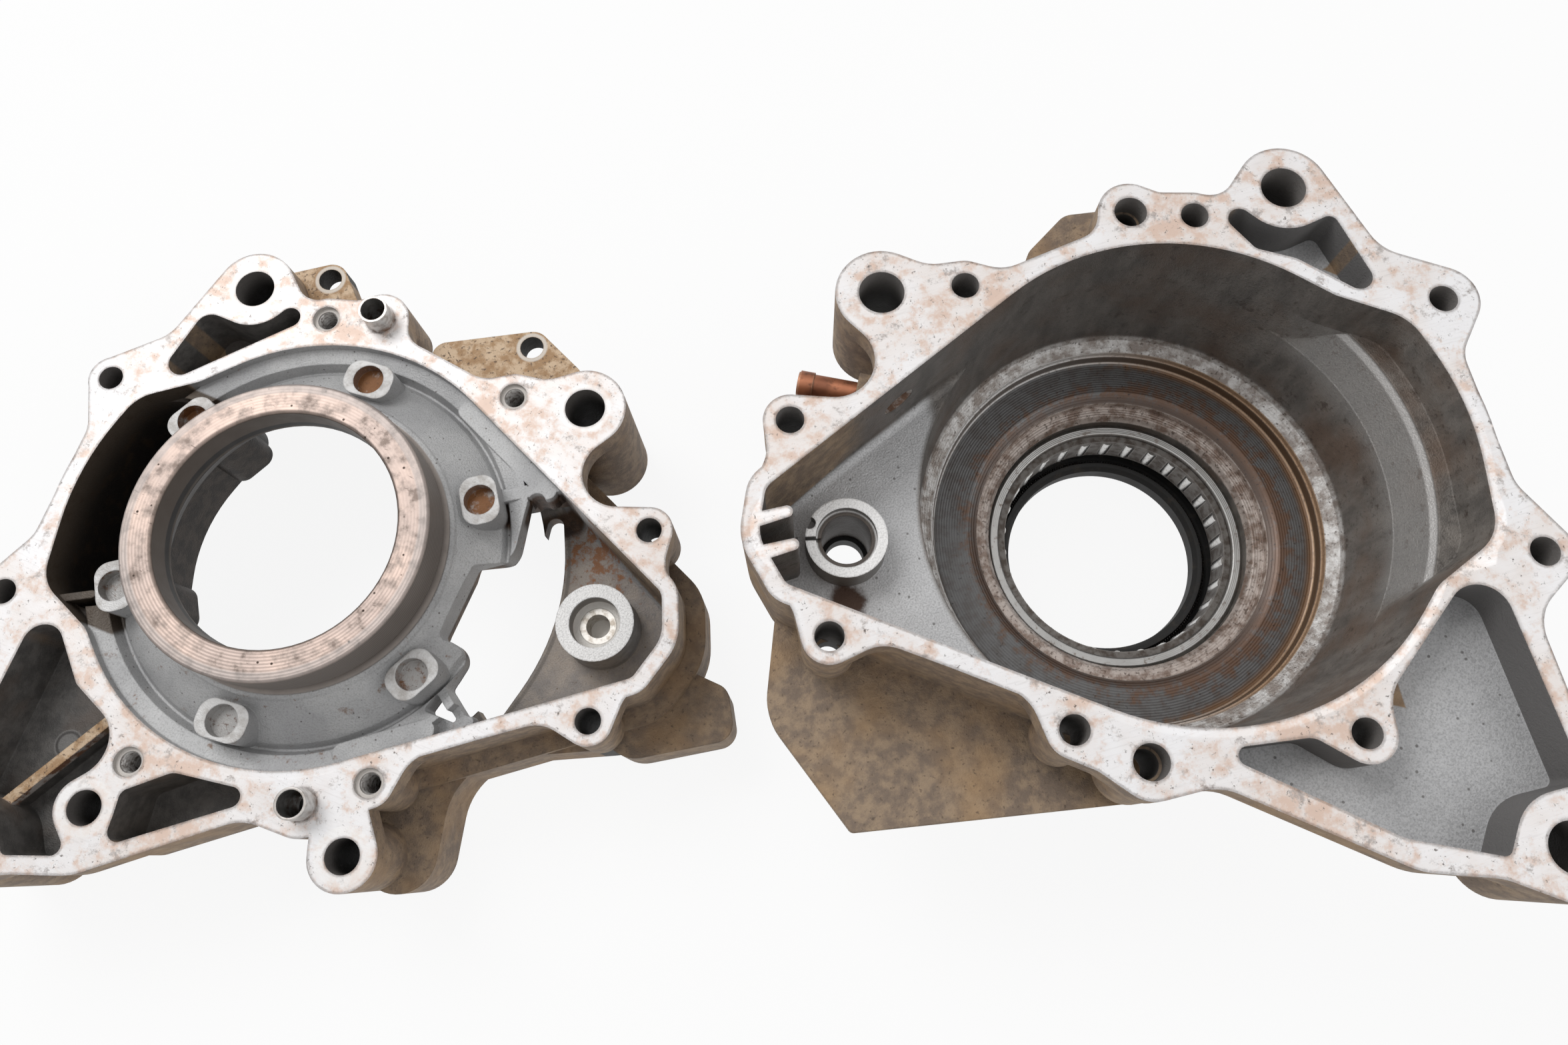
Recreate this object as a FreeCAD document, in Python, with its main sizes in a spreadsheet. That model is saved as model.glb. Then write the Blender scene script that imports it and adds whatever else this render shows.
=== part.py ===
import FreeCAD, Part
import math
import os
import Sketcher

# Front differential housing, opened: two mirror-matched aluminium castings laid side by side
# with their mating faces up, and the bearing, seals, dowels and breather that stay in them.
# Millimetres, +Z up. The origin is on the differential axis of the right casting, at the
# level that both castings stand on.
# In each casting's own frame the differential axis is the Z axis and the mating face is z = 0.
# The left casting is drawn as seen in the right casting's frame, then mirrored in x.

RIGHT, LEFT = "right", "left"

SIZES = {
    # How the two castings lie
    "right_height": 104.0,
    "left_height": 54.0,
    "left_x": -268.4,
    "left_y": 67.0,
    "left_turn": -36.8,
    # Shared outline of the mating faces
    "flange_thickness": 9.0,
    "wall": 5.5,
    "mount_boss_radius": 14.1,
    "bolt_boss_radius": 8.0,
    "dowel_boss_radius": 10.0,
    "ear_radius_right": 10.8,
    "ear_radius_left": 7.8,
    "end_radius": 17.5,
    # Holes in the mating faces
    "bolt_clearance_radius": 4.2,
    "tapped_radius": 3.4,
    "tapped_mouth_radius": 4.7,
    "tapped_mouth_depth": 1.5,
    "tapped_depth": 18.0,
    "mount_hole_radius": 6.9,
    "dowel_radius": 5.0,
    "dowel_bore": 4.2,
    "dowel_length": 16.0,
    "dowel_seat_depth": 8.0,
    # Depths below the mating faces
    "bolt_boss_depth": 24.0,
    "dowel_boss_depth": 26.0,
    "mount_boss_depth": 36.0,
    "chamber_depth": 33.0,
    "chamber_floor": 6.0,
    "bulge_depth": 17.0,
    "tray_depth": 14.0,
    "tray_floor": 5.0,
    "left_tray_depth": 21.0,
    "tray_rib_depth": 12.0,
    "tray_rib_half_width": 1.7,
    # Shared bowl
    "bowl_radius": 73.3,
    "bulge_radius": 84.3,
    "bowl_bottom_radius": 71.0,
    "bowl_floor_height": 43.5,
    "seat_radius": 65.6,
    "seat_height": 35.0,
    "inner_land_radius": 50.0,
    "inner_land_height": 31.0,
    # Needle bearing in the right hub
    "cup_radius": 45.0,
    "cup_wall": 2.0,
    "cup_height": 10.0,
    "cup_length": 16.0,
    "cup_lip_radius": 41.0,
    "cup_lip_thickness": 1.2,
    "roller_radius": 2.45,
    "roller_length": 10.0,
    "roller_count": 30,
    "race_clearance": 0.05,
    "pocket_clearance": 0.08,
    "cage_radial_clearance": 0.6,
    "cage_inner_radius": 38.6,
    "cage_end_clearance": 0.3,
    # Axle seal below the bearing
    "hub_radius": 54.0,
    "shoulder_radius": 42.5,
    "shoulder_thickness": 2.0,
    "seal_radius": 46.0,
    "seal_length": 7.0,
    "seal_skin": 2.2,
    "seal_lip_radius": 34.0,
    "seal_lip_thickness": 2.6,
    "spring_wire_radius": 0.9,
    "spring_height": 4.8,
    # Selector shaft boss, right and left
    "selector_x": -97.1,
    "selector_y": 13.1,
    "selector_boss_radius": 12.6,
    "selector_boss_top": 22.0,
    "selector_boss_bottom": 54.0,
    "selector_mouth_radius": 9.4,
    "selector_mouth_depth": 2.5,
    "selector_bore_radius": 7.7,
    "selector_seal_radius": 9.5,
    "selector_seal_length": 6.0,
    "selector_seal_lip": 6.4,
    "left_selector_boss_radius": 13.4,
    "left_selector_boss_top": 16.0,
    "left_selector_mouth_radius": 8.7,
    "left_selector_mouth_depth": 7.0,
    "selector_bush_radius": 6.4,
    "selector_bush_bore": 4.1,
    "selector_bush_length": 9.0,
    # Ribs that point at the right selector boss
    "finger_width": 3.5,
    "slit_width": 1.2,
    "slit_angle": 166.0,
    "slit_depth": 4.0,
    # Breather
    "breather_x": -71.0,
    "breather_y": 50.0,
    "breather_depth": 17.0,
    "breather_turn": 152.7,
    "breather_radius": 3.65,
    "breather_bore": 2.3,
    "breather_mouth_radius": 4.4,
    "breather_mouth_reach": 2.5,
    "breather_collar_radius": 4.15,
    "breather_collar_length": 4.4,
    "breather_collar_reach": 25.6,
    "breather_reach": 30.5,
    "breather_boss_radius": 6.6,
    "breather_boss_start": 1.0,
    "breather_boss_reach": 12.0,
    "breather_seat_reach": 5.0,
    # Skirt below the right casting
    "skirt_top": 31.0,
    "skirt_thickness": 8.0,
    "lug_top": 20.0,
    "lug_length": 22.0,
    # Left hub and dish
    "hub_rise": 22.0,
    "ring_radius": 49.0,
    "ring_bore": 38.8,
    "hub_recess_radius": 45.3,
    "hub_recess_top": 10.0,
    "hub_bottom": 12.0,
    "rim_radius": 52.0,
    "rim_rise": 4.0,
    "dish_depth": 8.5,
    "dish_floor": 6.0,
    "shoulder_rise": 4.5,
    "shoulder_inner_radius": 67.5,
    "pad_count": 6,
    "pad_pitch_radius": 60.5,
    "pad_first_angle": 25.0,
    "pad_length": 17.0,
    "pad_width": 12.5,
    "pad_corner": 5.0,
    "pad_top": 4.5,
    "dimple_radius": 5.2,
    "dimple_depth": 4.0,
    "window_inner_radius": 55.5,
    "window_outer_radius": 80.2,
    "deep_pocket_inner_radius": 62.5,
    "deep_pocket_depth": 34.0,
    "belly_offset": 12.0,
    "belly_top": 24.0,
    "belly_bottom": 46.0,
    "arm_top": 27.0,
    "arm_bottom": 50.0,
    "web_top": 12.0,
    "web_thickness": 9.0,
    "web_hole_radius": 4.2,
    "web_boss_radius": 6.3,
    "column_radius": 11.0,
    "column_hole_radius": 5.5,
    "column_land_radius": 9.3,
    # Casting radii
    "floor_fillet": 3.5,
}

# Depths below the right mating face of what is stated above as a height over the standing face
DEPTHS = {
    "bowl_depth": "=right_height - bowl_floor_height",
    "seat_depth": "=right_height - seat_height",
    "inner_land_depth": "=right_height - inner_land_height",
    "cup_top_depth": "=right_height - cup_height - cup_length",
}

# Bolt, dowel and mounting holes that the two mating faces share, seen on the right casting
HOLES = {
    "a": (-67.5, 78.5),
    "b": (-42.5, 73.7),
    "c": (14.3, 83.6),
    "d": (32.7, 77.0),
    "e": (62.5, 78.5),
    "f": (93.1, 29.8),
    "g": (86.3, -49.7),
    "j": (-56.0, -60.9),
    "k": (-112.2, -18.6),
    "l": (-39.3, -74.4),
    "m": (-105.4, 46.2),
    "n": (57.5, -124.0),
    "o": (18.4, -82.7),
}
MOUNT_HOLES = "aen"
DOWEL_HOLES = "cl"
TAPPED_HOLES = "bdjo"
PLAIN_HOLES = "fgkm"
BOLT_HOLES = TAPPED_HOLES + PLAIN_HOLES

# Holes that only the left casting has: two on low webs, two on columns
WEB_HOLES = {"web_p": (46.5, 95.5), "web_q": (-35.5, 97.0)}
COLUMN_HOLES = {"column_r": (-58.5, -83.5), "column_s": (24.0, -100.0)}

doc = FreeCAD.newDocument("front_differential_housing")
sheet = doc.addObject("Spreadsheet::Sheet", "Sizes")
row = 0


def store(alias, value):
    """One driving dimension in the sheet, under its own name."""
    global row
    row += 1
    sheet.set(f"A{row}", alias)
    sheet.set(f"B{row}", str(value))
    sheet.setAlias(f"B{row}", alias)


for alias, value in {**SIZES, **DEPTHS}.items():
    store(alias, value)
for places in (HOLES, WEB_HOLES, COLUMN_HOLES):
    for name, (x, y) in places.items():
        store(f"hole_{name}_x", x)
        store(f"hole_{name}_y", y)
doc.recompute()


def size(alias):
    """The sheet's value of a driving dimension."""
    return float(getattr(sheet, alias))


def cell(alias):
    """The same dimension as an expression, for a bound property."""
    return f"Sizes.{alias}"


def place(name):
    return size(f"hole_{name}_x"), size(f"hole_{name}_y")


# Outlines are belts: a list of circles (x, y, radius) taken anticlockwise and joined by the
# straight lines that touch them. Metal or space lies inside a positive radius, and a negative
# radius is a hollow that the outline dips round.

def belt_joint(first, second):
    """The straight run from one circle of a belt to the next."""
    dx = second[0] - first[0]
    dy = second[1] - first[1]
    turn = math.asin((second[2] - first[2]) / math.hypot(dx, dy))
    heading = math.atan2(dy, dx) - turn
    nx, ny = -math.sin(heading), math.cos(heading)
    start = (first[0] - first[2] * nx, first[1] - first[2] * ny)
    end = (second[0] - second[2] * nx, second[1] - second[2] * ny)
    return start, end


def relax(circles):
    """Hollows are made small enough to pass between the bumps on either side."""
    slack = 0.05
    eased = []
    for i, (x, y, radius) in enumerate(circles):
        if radius < 0:
            for other in (circles[i - 1], circles[(i + 1) % len(circles)]):
                if other[2] > 0:
                    room = math.hypot(x - other[0], y - other[1]) - other[2] - slack
                    radius = -min(-radius, room)
        eased.append((x, y, radius))
    return eased


def grown(radius, grow):
    """A belt radius after the outline moves outwards; a hollow never turns into a bump."""
    least_hollow = 0.5
    if radius < 0:
        return min(radius + grow, -least_hollow)
    return radius + grow


def belt(circles, grow=0.0, mirrored=False):
    """Lines and arcs of a belt, moved outwards by grow, mirrored in x for the left casting."""
    circles = [(x, y, grown(radius, grow)) for x, y, radius in relax(circles)]
    if mirrored:
        circles = [(-x, y, radius) for x, y, radius in reversed(circles)]
    count = len(circles)
    runs = [belt_joint(circles[i], circles[(i + 1) % count]) for i in range(count)]
    shapes = []
    for i, (x, y, radius) in enumerate(circles):
        arrive = runs[i - 1][1]
        leave = runs[i][0]
        a0 = math.atan2(arrive[1] - y, arrive[0] - x)
        a1 = math.atan2(leave[1] - y, leave[0] - x)
        if radius < 0:
            a0, a1 = a1, a0
        while a1 < a0:
            a1 += 2 * math.pi
        circle = Part.Circle(FreeCAD.Vector(x, y, 0), FreeCAD.Vector(0, 0, 1), abs(radius))
        shapes.append(Part.ArcOfCircle(circle, a0, a1))
        start, end = runs[i]
        shapes.append(Part.LineSegment(FreeCAD.Vector(*start, 0), FreeCAD.Vector(*end, 0)))
    return shapes


def hole_circle(name, radius):
    """A belt circle round one of the shared holes."""
    x, y = place(name)
    return x, y, radius


def face_outline(ear_radius):
    """Outer edge of the mating face."""
    bolt = size("bolt_boss_radius")
    mount = size("mount_boss_radius")
    dowel = size("dowel_boss_radius")
    return [
        hole_circle("e", mount),
        (42.0, 90.0, -9.0),
        hole_circle("d", bolt),
        (28.0, 93.0, -6.0),
        hole_circle("c", dowel),
        (-4.0, 87.6, -8.4),
        (-27.0, 88.0, -12.0),
        hole_circle("b", bolt + 0.4),
        (-45.8, 95.8, -13.0),
        hole_circle("a", mount),
        (-87.5, 61.0, -12.0),
        hole_circle("m", bolt),
        (-125.5, 42.5, -11.5),
        (-111.0, 13.5, size("end_radius")),
        (-132.0, -10.5, -12.0),
        hole_circle("k", bolt),
        (-101.5, -36.5, -11.5),
        (-76.5, -55.5, -12.0),
        hole_circle("j", bolt),
        (-59.5, -78.5, -8.0),
        hole_circle("l", dowel + 0.3),
        (-29.5, -99.5, -14.5),
        (28.5, -99.5, 22.3),
        (29.5, -139.5, -15.0),
        hole_circle("n", mount),
        (88.5, -73.5, -13.0),
        hole_circle("g", bolt + 0.8),
        (98.5, -27.5, -11.0),
        (100.5, 7.5, -10.0),
        hole_circle("f", ear_radius),
        (94.5, 58.5, -13.5),
    ]


def chamber_outline():
    """The main chamber: the bowl, and the narrow end that holds the selector shaft."""
    return [
        (0.0, 0.0, size("bowl_radius")),
        (-113.5, 24.0, 5.5),
        (-111.0, 13.5, size("end_radius") - size("wall")),
        (-116.0, 1.5, 4.2),
    ]


def bulge_outline():
    """The bowl with the bulge that clears the pinion side of the ring gear."""
    bowl = size("bowl_radius")
    return [
        (0.0, 0.0, bowl),
        (59.6, -60.1, -11.0),
        (65.0, -32.0, 13.3),
        (0.0, 0.0, size("bulge_radius")),
        (67.5, 18.3, 14.5),
        (70.5, 48.0, -11.2),
    ]


def upper_tray_outline(side):
    """The hollow between the upper mount and the bowl."""
    mount = size("mount_boss_radius") + 0.2
    if side == LEFT:
        return [
            (45.2, 72.9, 3.7),
            (72.5, 44.0, 4.8),
            (70.0, 58.9, 5.5),
            hole_circle("e", -mount),
        ]
    return [
        (45.5, 71.9, 3.6),
        (49.0, 63.5, 3.5),
        (50.2, 46.8, -10.0),
        (72.0, 43.7, 4.2),
        (71.0, 62.7, 2.7),
        hole_circle("e", -mount),
    ]


def lower_tray_outlines(side):
    """The hollows between the bowl and the lower mount."""
    mount = size("mount_boss_radius") + 0.5
    bolt = size("bolt_boss_radius") + 0.2
    corner = (40.0, -119.0, 2.2)
    if side == RIGHT:
        return [[
            (61.5, -61.5, 8.6),
            (40.5, -82.5, 13.4),
            hole_circle("o", -bolt),
            (1.5, -85.5, 6.0),
            (-14.2, -79.8, 2.6),
            (26.5, -95.5, 17.5),
            corner,
            hole_circle("n", -mount),
            (65.8, -107.5, 2.2),
        ]]
    column_x, column_y = place("column_s")
    column = (column_x, column_y, -size("column_land_radius") - 0.5)
    return [
        [
            (-17.3, -80.5, 3.2),
            (10.3, -102.0, 3.4),
            column,
            (12.2, -92.6, 3.3),
            (0.5, -86.5, 6.5),
        ],
        [
            (64.5, -60.5, 6.8),
            (43.8, -62.2, -6.0),
            (38.8, -83.5, 12.0),
            column,
            (27.5, -113.5, 3.0),
            corner,
            hole_circle("n", -mount),
            (65.8, -107.5, 2.2),
        ],
    ]


# A sub-part is worked up in steps: solids are drawn, then added to it or cut from it together

TO_AXIS_PLANE = FreeCAD.Rotation(FreeCAD.Vector(1, 0, 0), 90)
AXIS = ("0", "0")
UP = FreeCAD.Vector(0, 0, 1)


class SubPart:
    """One sub-part while it is being worked up from sketched solids."""

    def __init__(self, label, mirrored=False):
        self.label = label
        self.mirrored = mirrored
        self.result = None
        self.drawn = []

    def new(self, kind, name):
        return doc.addObject(kind, f"{self.label}_{name}")

    def extrude(self, sketch, name, length, down=True):
        """A solid of the given length from a sketch."""
        solid = self.new("Part::Extrusion", name)
        solid.Base = sketch
        solid.DirMode = "Normal"
        solid.Solid = True
        solid.Reversed = down
        solid.setExpression("LengthFwd", length)
        self.drawn.append(solid)

    def belts(self, name, outlines, length, height="0", grow=0.0):
        """Upright solids below the given height, from belt outlines."""
        sketch = self.new("Sketcher::SketchObject", name + "_outline")
        sketch.setExpression(".Placement.Base.z", height)
        for outline in outlines:
            sketch.addGeometry(belt(outline, grow, self.mirrored), False)
        self.extrude(sketch, name, length)

    def circles(self, name, circles, length, height="0"):
        """Upright cylinders below the given height, from (x, y, radius) expressions."""
        sketch = self.new("Sketcher::SketchObject", name + "_circles")
        sketch.setExpression(".Placement.Base.z", height)
        sign = "-1 * " if self.mirrored else ""
        for x, y, radius in circles:
            index = sketch.addGeometry(Part.Circle(FreeCAD.Vector(1, 1, 0), UP, 1.0), False)
            constraints = [
                (Sketcher.Constraint("Radius", index, 1.0), radius),
                (Sketcher.Constraint("DistanceX", -1, 1, index, 3, 1.0), f"{sign}({x})"),
                (Sketcher.Constraint("DistanceY", -1, 1, index, 3, 1.0), y),
            ]
            for constraint, expression in constraints:
                number = sketch.addConstraint(constraint)
                sketch.setExpression(f"Constraints[{number}]", expression)
        self.extrude(sketch, name, length)

    def turned(self, name, points, centre=AXIS):
        """A solid turned about a vertical line, from (radius, height) points."""
        sketch = self.new("Sketcher::SketchObject", name + "_profile")
        sketch.Placement = FreeCAD.Placement(FreeCAD.Vector(0, 0, 0), TO_AXIS_PLANE)
        closed = points + points[:1]
        for first, second in zip(closed, closed[1:]):
            sketch.addGeometry(Part.LineSegment(FreeCAD.Vector(*first, 0), FreeCAD.Vector(*second, 0)), False)
        solid = self.new("Part::Revolution", name)
        solid.Source = sketch
        solid.Axis = UP
        solid.Solid = True
        sign = "-1 * " if self.mirrored else ""
        solid.setExpression(".Placement.Base.x", f"{sign}({centre[0]})")
        solid.setExpression(".Placement.Base.y", centre[1])
        self.drawn.append(solid)

    def joined(self, name, solids):
        """Several solids as one."""
        if len(solids) == 1:
            return solids[0]
        union = self.new("Part::MultiFuse", name)
        union.Shapes = solids
        union.Refine = True
        return union

    def keep_shared(self, name):
        """Of the last two solids drawn, only what lies in both."""
        shared = self.new("Part::MultiCommon", name)
        shared.Shapes = self.drawn[-2:]
        self.drawn[-2:] = [shared]

    def add(self, name):
        """What was drawn is added to the sub-part."""
        solids = self.drawn if self.result is None else [self.result] + self.drawn
        self.result = self.joined(name, solids)
        self.drawn = []

    def cut(self, name):
        """What was drawn is cut away from the sub-part."""
        tool = self.joined(name + "_tool", self.drawn)
        cut = self.new("Part::Cut", name)
        cut.Base = self.result
        cut.Tool = tool
        cut.Refine = True
        self.result = cut
        self.drawn = []

    def round_floor(self, name, height, radius):
        """A fillet round the floor at the given height."""
        doc.recompute()
        edges = [i + 1 for i, edge in enumerate(self.result.Shape.Edges) if lies_level(edge, height)]
        fillet = self.new("Part::Fillet", name)
        fillet.Base = self.result
        fillet.Edges = [(i, radius, radius) for i in edges]
        self.result = fillet

    def finish(self, height, x="0", y="0", turn="0"):
        """The finished sub-part, placed where its casting lies."""
        self.result.Label = self.label
        self.result.setExpression(".Placement.Base.x", x)
        self.result.setExpression(".Placement.Base.y", y)
        self.result.setExpression(".Placement.Base.z", height)
        self.result.setExpression(".Placement.Rotation.Angle", turn)
        return self.result


def lies_level(edge, height):
    """True for an edge that lies wholly at one height, beyond the bowl."""
    box = edge.BoundBox
    level = abs(box.ZMin - height) < 1e-4 and abs(box.ZMax - height) < 1e-4
    return level and max(-box.XMin, box.XMax) > size("bowl_radius") + 5.0


def shared_circles(names, radius):
    """Circles of one radius round the named holes."""
    return [(cell(f"hole_{n}_x"), cell(f"hole_{n}_y"), cell(radius)) for n in names]


SELECTOR_PLACE = (cell("selector_x"), cell("selector_y"))


def selector_circle(radius):
    """A circle round the selector shaft."""
    return [(*SELECTOR_PLACE, cell(radius))]


# Right casting

def bowl_outside():
    """Outside of the bowl and hub, as (radius, height) points."""
    bowl = size("bowl_radius") + size("wall")
    hub = size("hub_radius")
    depth = size("bowl_depth")
    core = size("seal_lip_radius") - 4.0
    bottom = -size("right_height")
    return [
        (core, -size("bulge_depth")),
        (bowl, -size("bulge_depth")),
        (bowl - 0.8, -depth),
        (bowl - 3.5, -depth - 8.0),
        (hub + 10.0, -depth - 16.0),
        (hub + 2.0, -depth - 24.0),
        (hub, bottom),
        (core, bottom),
    ]


def bowl_inside():
    """Bore of the bowl and hub, from the mating face down to the seal."""
    bowl = size("bowl_radius")
    depth = size("bowl_depth")
    seat = size("seat_radius")
    seat_depth = size("seat_depth")
    land = size("inner_land_radius")
    land_depth = size("inner_land_depth")
    cup = size("cup_radius")
    cup_bottom = size("cup_top_depth") + size("cup_length")
    shoulder = size("shoulder_radius")
    seal = size("seal_radius")
    seal_top = cup_bottom + size("shoulder_thickness")
    bottom = size("right_height")
    beyond = 1.0
    return [
        (0.0, beyond),
        (bowl, beyond),
        (bowl, -size("chamber_depth")),
        (size("bowl_bottom_radius") + 0.3, -depth + 2.0),
        (size("bowl_bottom_radius") - 0.6, -depth),
        (seat + 0.8, -depth - 2.4),
        (seat + 0.8, -depth - 4.2),
        (seat, -depth - 4.2),
        (seat, -seat_depth + 1.0),
        (seat - 1.2, -seat_depth),
        (land + 3.6, -seat_depth + 0.6),
        (land, -seat_depth - 1.2),
        (land, -land_depth),
        (cup + 1.4, -land_depth),
        (cup, -land_depth - 2.0),
        (cup, -cup_bottom),
        (shoulder, -cup_bottom),
        (shoulder, -seal_top),
        (seal, -seal_top),
        (seal, -bottom - beyond),
        (0.0, -bottom - beyond),
    ]


def bulge_slope():
    """The ledge of the bulge falls away towards the bowl."""
    bowl = size("bowl_radius")
    ledge = size("bulge_depth")
    bulge = size("bulge_radius")
    return [
        (bowl - 3.0, -ledge + 1.0),
        (bulge - 4.5, -ledge + 1.0),
        (bulge - 5.0, -ledge - 0.8),
        (bulge - 6.3, -ledge - 2.6),
        (bowl + 0.2, -ledge - 14.6),
        (bowl - 3.0, -ledge - 15.6),
    ]


def skirt_outline():
    """The skirt that reaches out below the narrow end."""
    return [
        (-104.0, 0.0, 18.0),
        (-116.0, -31.0, 18.0),
        (-118.5, -68.5, 2.0),
        (-33.0, -79.0, 6.0),
    ]


def top_lug_outline():
    """The lug below the upper edge, beside the dowel."""
    return [(8.0, 70.0, 14.0), (13.5, 88.0, 9.0), (4.0, 92.0, 6.5), (-8.0, 84.0, 7.0)]


def finger_outline(tip_x, tip_y):
    """A rib from the narrow end towards the selector boss."""
    half = size("finger_width") / 2
    root_x = size("selector_x") - 27.2
    return [(tip_x - half, tip_y, half), (root_x, tip_y, half + 0.5)]


def boss_slit():
    """The slit and the round notch in the rim of the selector boss."""
    x, y = size("selector_x"), size("selector_y")
    rim = size("selector_boss_radius")
    half = size("slit_width") / 2
    across = math.radians(size("slit_angle"))
    inner = rim - 6.0
    slit = [(x + reach * math.cos(across), y + reach * math.sin(across), half)
            for reach in (inner, rim + 3.0)]
    notch_angle = across - math.radians(24.0)
    notch = [(x + reach * math.cos(notch_angle), y + reach * math.sin(notch_angle), 1.9)
             for reach in (rim - 0.4, rim + 2.0)]
    return slit, notch


def right_selector_bore():
    """Mouth, bore and seal seat of the right selector boss, as (radius, height) points."""
    mouth = size("selector_mouth_radius")
    bore = size("selector_bore_radius")
    seat = size("selector_seal_radius")
    top = -size("selector_boss_top")
    mouth_floor = top - size("selector_mouth_depth")
    bottom = -size("selector_boss_bottom")
    seat_roof = bottom + size("selector_seal_length")
    return [(0.0, top + 1.0), (mouth, top + 1.0), (mouth, mouth_floor), (bore, mouth_floor),
            (bore, seat_roof), (seat, seat_roof), (seat, bottom - 1.0), (0.0, bottom - 1.0)]


def breather_point(reach):
    """A point on the breather's centre line, that far out from the chamber's inner wall."""
    turn = math.radians(size("breather_turn"))
    direction = FreeCAD.Vector(math.cos(turn), math.sin(turn), 0)
    start = FreeCAD.Vector(size("breather_x"), size("breather_y"), -size("breather_depth"))
    return start + direction * reach, direction


def breather_solid(sub, name, radius, reach, length, inward=False):
    """A round solid on the breather's centre line."""
    point, direction = breather_point(size(reach))
    sketch = sub.new("Sketcher::SketchObject", name + "_circle")
    sketch.Placement = FreeCAD.Placement(point, FreeCAD.Rotation(UP, direction))
    sketch.addGeometry(Part.Circle(FreeCAD.Vector(0, 0, 0), UP, 1.0), False)
    number = sketch.addConstraint(Sketcher.Constraint("Radius", 0, 1.0))
    sketch.setExpression(f"Constraints[{number}]", cell(radius))
    sub.extrude(sketch, name, length, inward)


def right_case():
    case = SubPart("right_case")
    wall = size("wall")
    trays = [upper_tray_outline(RIGHT)] + lower_tray_outlines(RIGHT)

    # Outside walls and bosses
    case.belts("flange", [face_outline(size("ear_radius_right"))], cell("flange_thickness"))
    case.belts("chamber_wall", [chamber_outline()], "Sizes.chamber_depth + Sizes.chamber_floor", grow=wall)
    case.belts("bulge_wall", [bulge_outline()], "Sizes.bulge_depth + Sizes.chamber_floor + 8", grow=wall)
    for i, tray in enumerate(trays):
        case.belts(f"tray_wall_{i}", [tray], "Sizes.tray_depth + Sizes.tray_floor", grow=wall - 1.5)
    case.circles("bolt_bosses", shared_circles(BOLT_HOLES, "bolt_boss_radius"), cell("bolt_boss_depth"))
    case.circles("dowel_bosses", shared_circles(DOWEL_HOLES, "dowel_boss_radius"), cell("dowel_boss_depth"))
    case.circles("mount_bosses", shared_circles(MOUNT_HOLES, "mount_boss_radius"), cell("mount_boss_depth"))
    case.turned("bowl", bowl_outside())
    case.belts("skirt", [skirt_outline()], cell("skirt_thickness"), "-Sizes.skirt_top")
    case.belts("top_lug", [top_lug_outline()], cell("lug_length"), "-Sizes.lug_top")
    breather_solid(case, "breather_boss", "breather_boss_radius", "breather_boss_start",
                   "Sizes.breather_boss_reach - Sizes.breather_boss_start")
    case.add("walls")

    # Chamber, bulge, bowl, hub bore and trays
    case.belts("chamber", [chamber_outline()], cell("chamber_depth"))
    case.cut("hollowed")
    case.round_floor("rounded", -size("chamber_depth"), size("floor_fillet"))
    case.belts("bulge", [bulge_outline()], cell("bulge_depth"))
    case.belts("bulge_foot", [bulge_outline()], cell("chamber_depth"))
    case.turned("bulge_slope", bulge_slope())
    case.keep_shared("bulge_ledge")
    case.turned("bore", bowl_inside())
    case.belts("trays", trays, cell("tray_depth"))
    case.cut("bored")

    # Selector boss and the ribs beside it
    case.circles("selector_boss", selector_circle("selector_boss_radius"),
                 "Sizes.selector_boss_bottom - Sizes.selector_boss_top", "-Sizes.selector_boss_top")
    x = size("selector_x")
    y = size("selector_y")
    case.belts("fingers", [finger_outline(x - 15.0, y + 6.3), finger_outline(x - 15.9, y - 3.6)],
               "Sizes.chamber_depth + 1")
    case.add("bossed")

    # Drilled holes and the selector's bore
    case.turned("selector_bore", right_selector_bore(), SELECTOR_PLACE)
    case.belts("boss_slit", boss_slit(), "Sizes.slit_depth + 1", "1 - Sizes.selector_boss_top")
    breather_solid(case, "breather_hole", "breather_radius", "breather_boss_reach",
                   "Sizes.breather_boss_reach + 8", inward=True)
    breather_solid(case, "breather_mouth", "breather_mouth_radius", "breather_mouth_reach",
                   "Sizes.breather_mouth_reach + 8", inward=True)
    holes = shared_circles(BOLT_HOLES, "bolt_clearance_radius") + shared_circles(DOWEL_HOLES, "dowel_bore")
    holes += shared_circles(MOUNT_HOLES, "mount_hole_radius")
    case.circles("holes", holes, "Sizes.skirt_top + Sizes.skirt_thickness + 1")
    case.circles("dowel_seats", shared_circles(DOWEL_HOLES, "dowel_radius"), cell("dowel_seat_depth"))
    case.cut("drilled")
    return case.finish(cell("right_height"))


# Left casting, drawn in the right casting's frame and mirrored

LEFT_PLACE = (cell("left_height"), cell("left_x"), cell("left_y"), cell("left_turn"))


def pad_circles():
    """Centres of the round dimples in the hub's six pads."""
    angles = [f"(Sizes.pad_first_angle + {60 * k})" for k in range(int(size("pad_count")))]
    pitch = cell("pad_pitch_radius")
    return [(f"{pitch} * cos({a})", f"{pitch} * sin({a})", cell("dimple_radius")) for a in angles]


def pad_outline(number):
    """One raised pad, its long side along the hub."""
    angle = math.radians(size("pad_first_angle") + 360.0 / size("pad_count") * number)
    corner = size("pad_corner")
    half_long = size("pad_length") / 2 - corner
    half_short = size("pad_width") / 2 - corner
    circles = []
    for across, along in ((1, -1), (1, 1), (-1, 1), (-1, -1)):
        radial = size("pad_pitch_radius") + across * half_short
        sideways = along * half_long
        x = radial * math.cos(angle) - sideways * math.sin(angle)
        y = radial * math.sin(angle) + sideways * math.cos(angle)
        circles.append((x, y, corner))
    return circles


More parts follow.
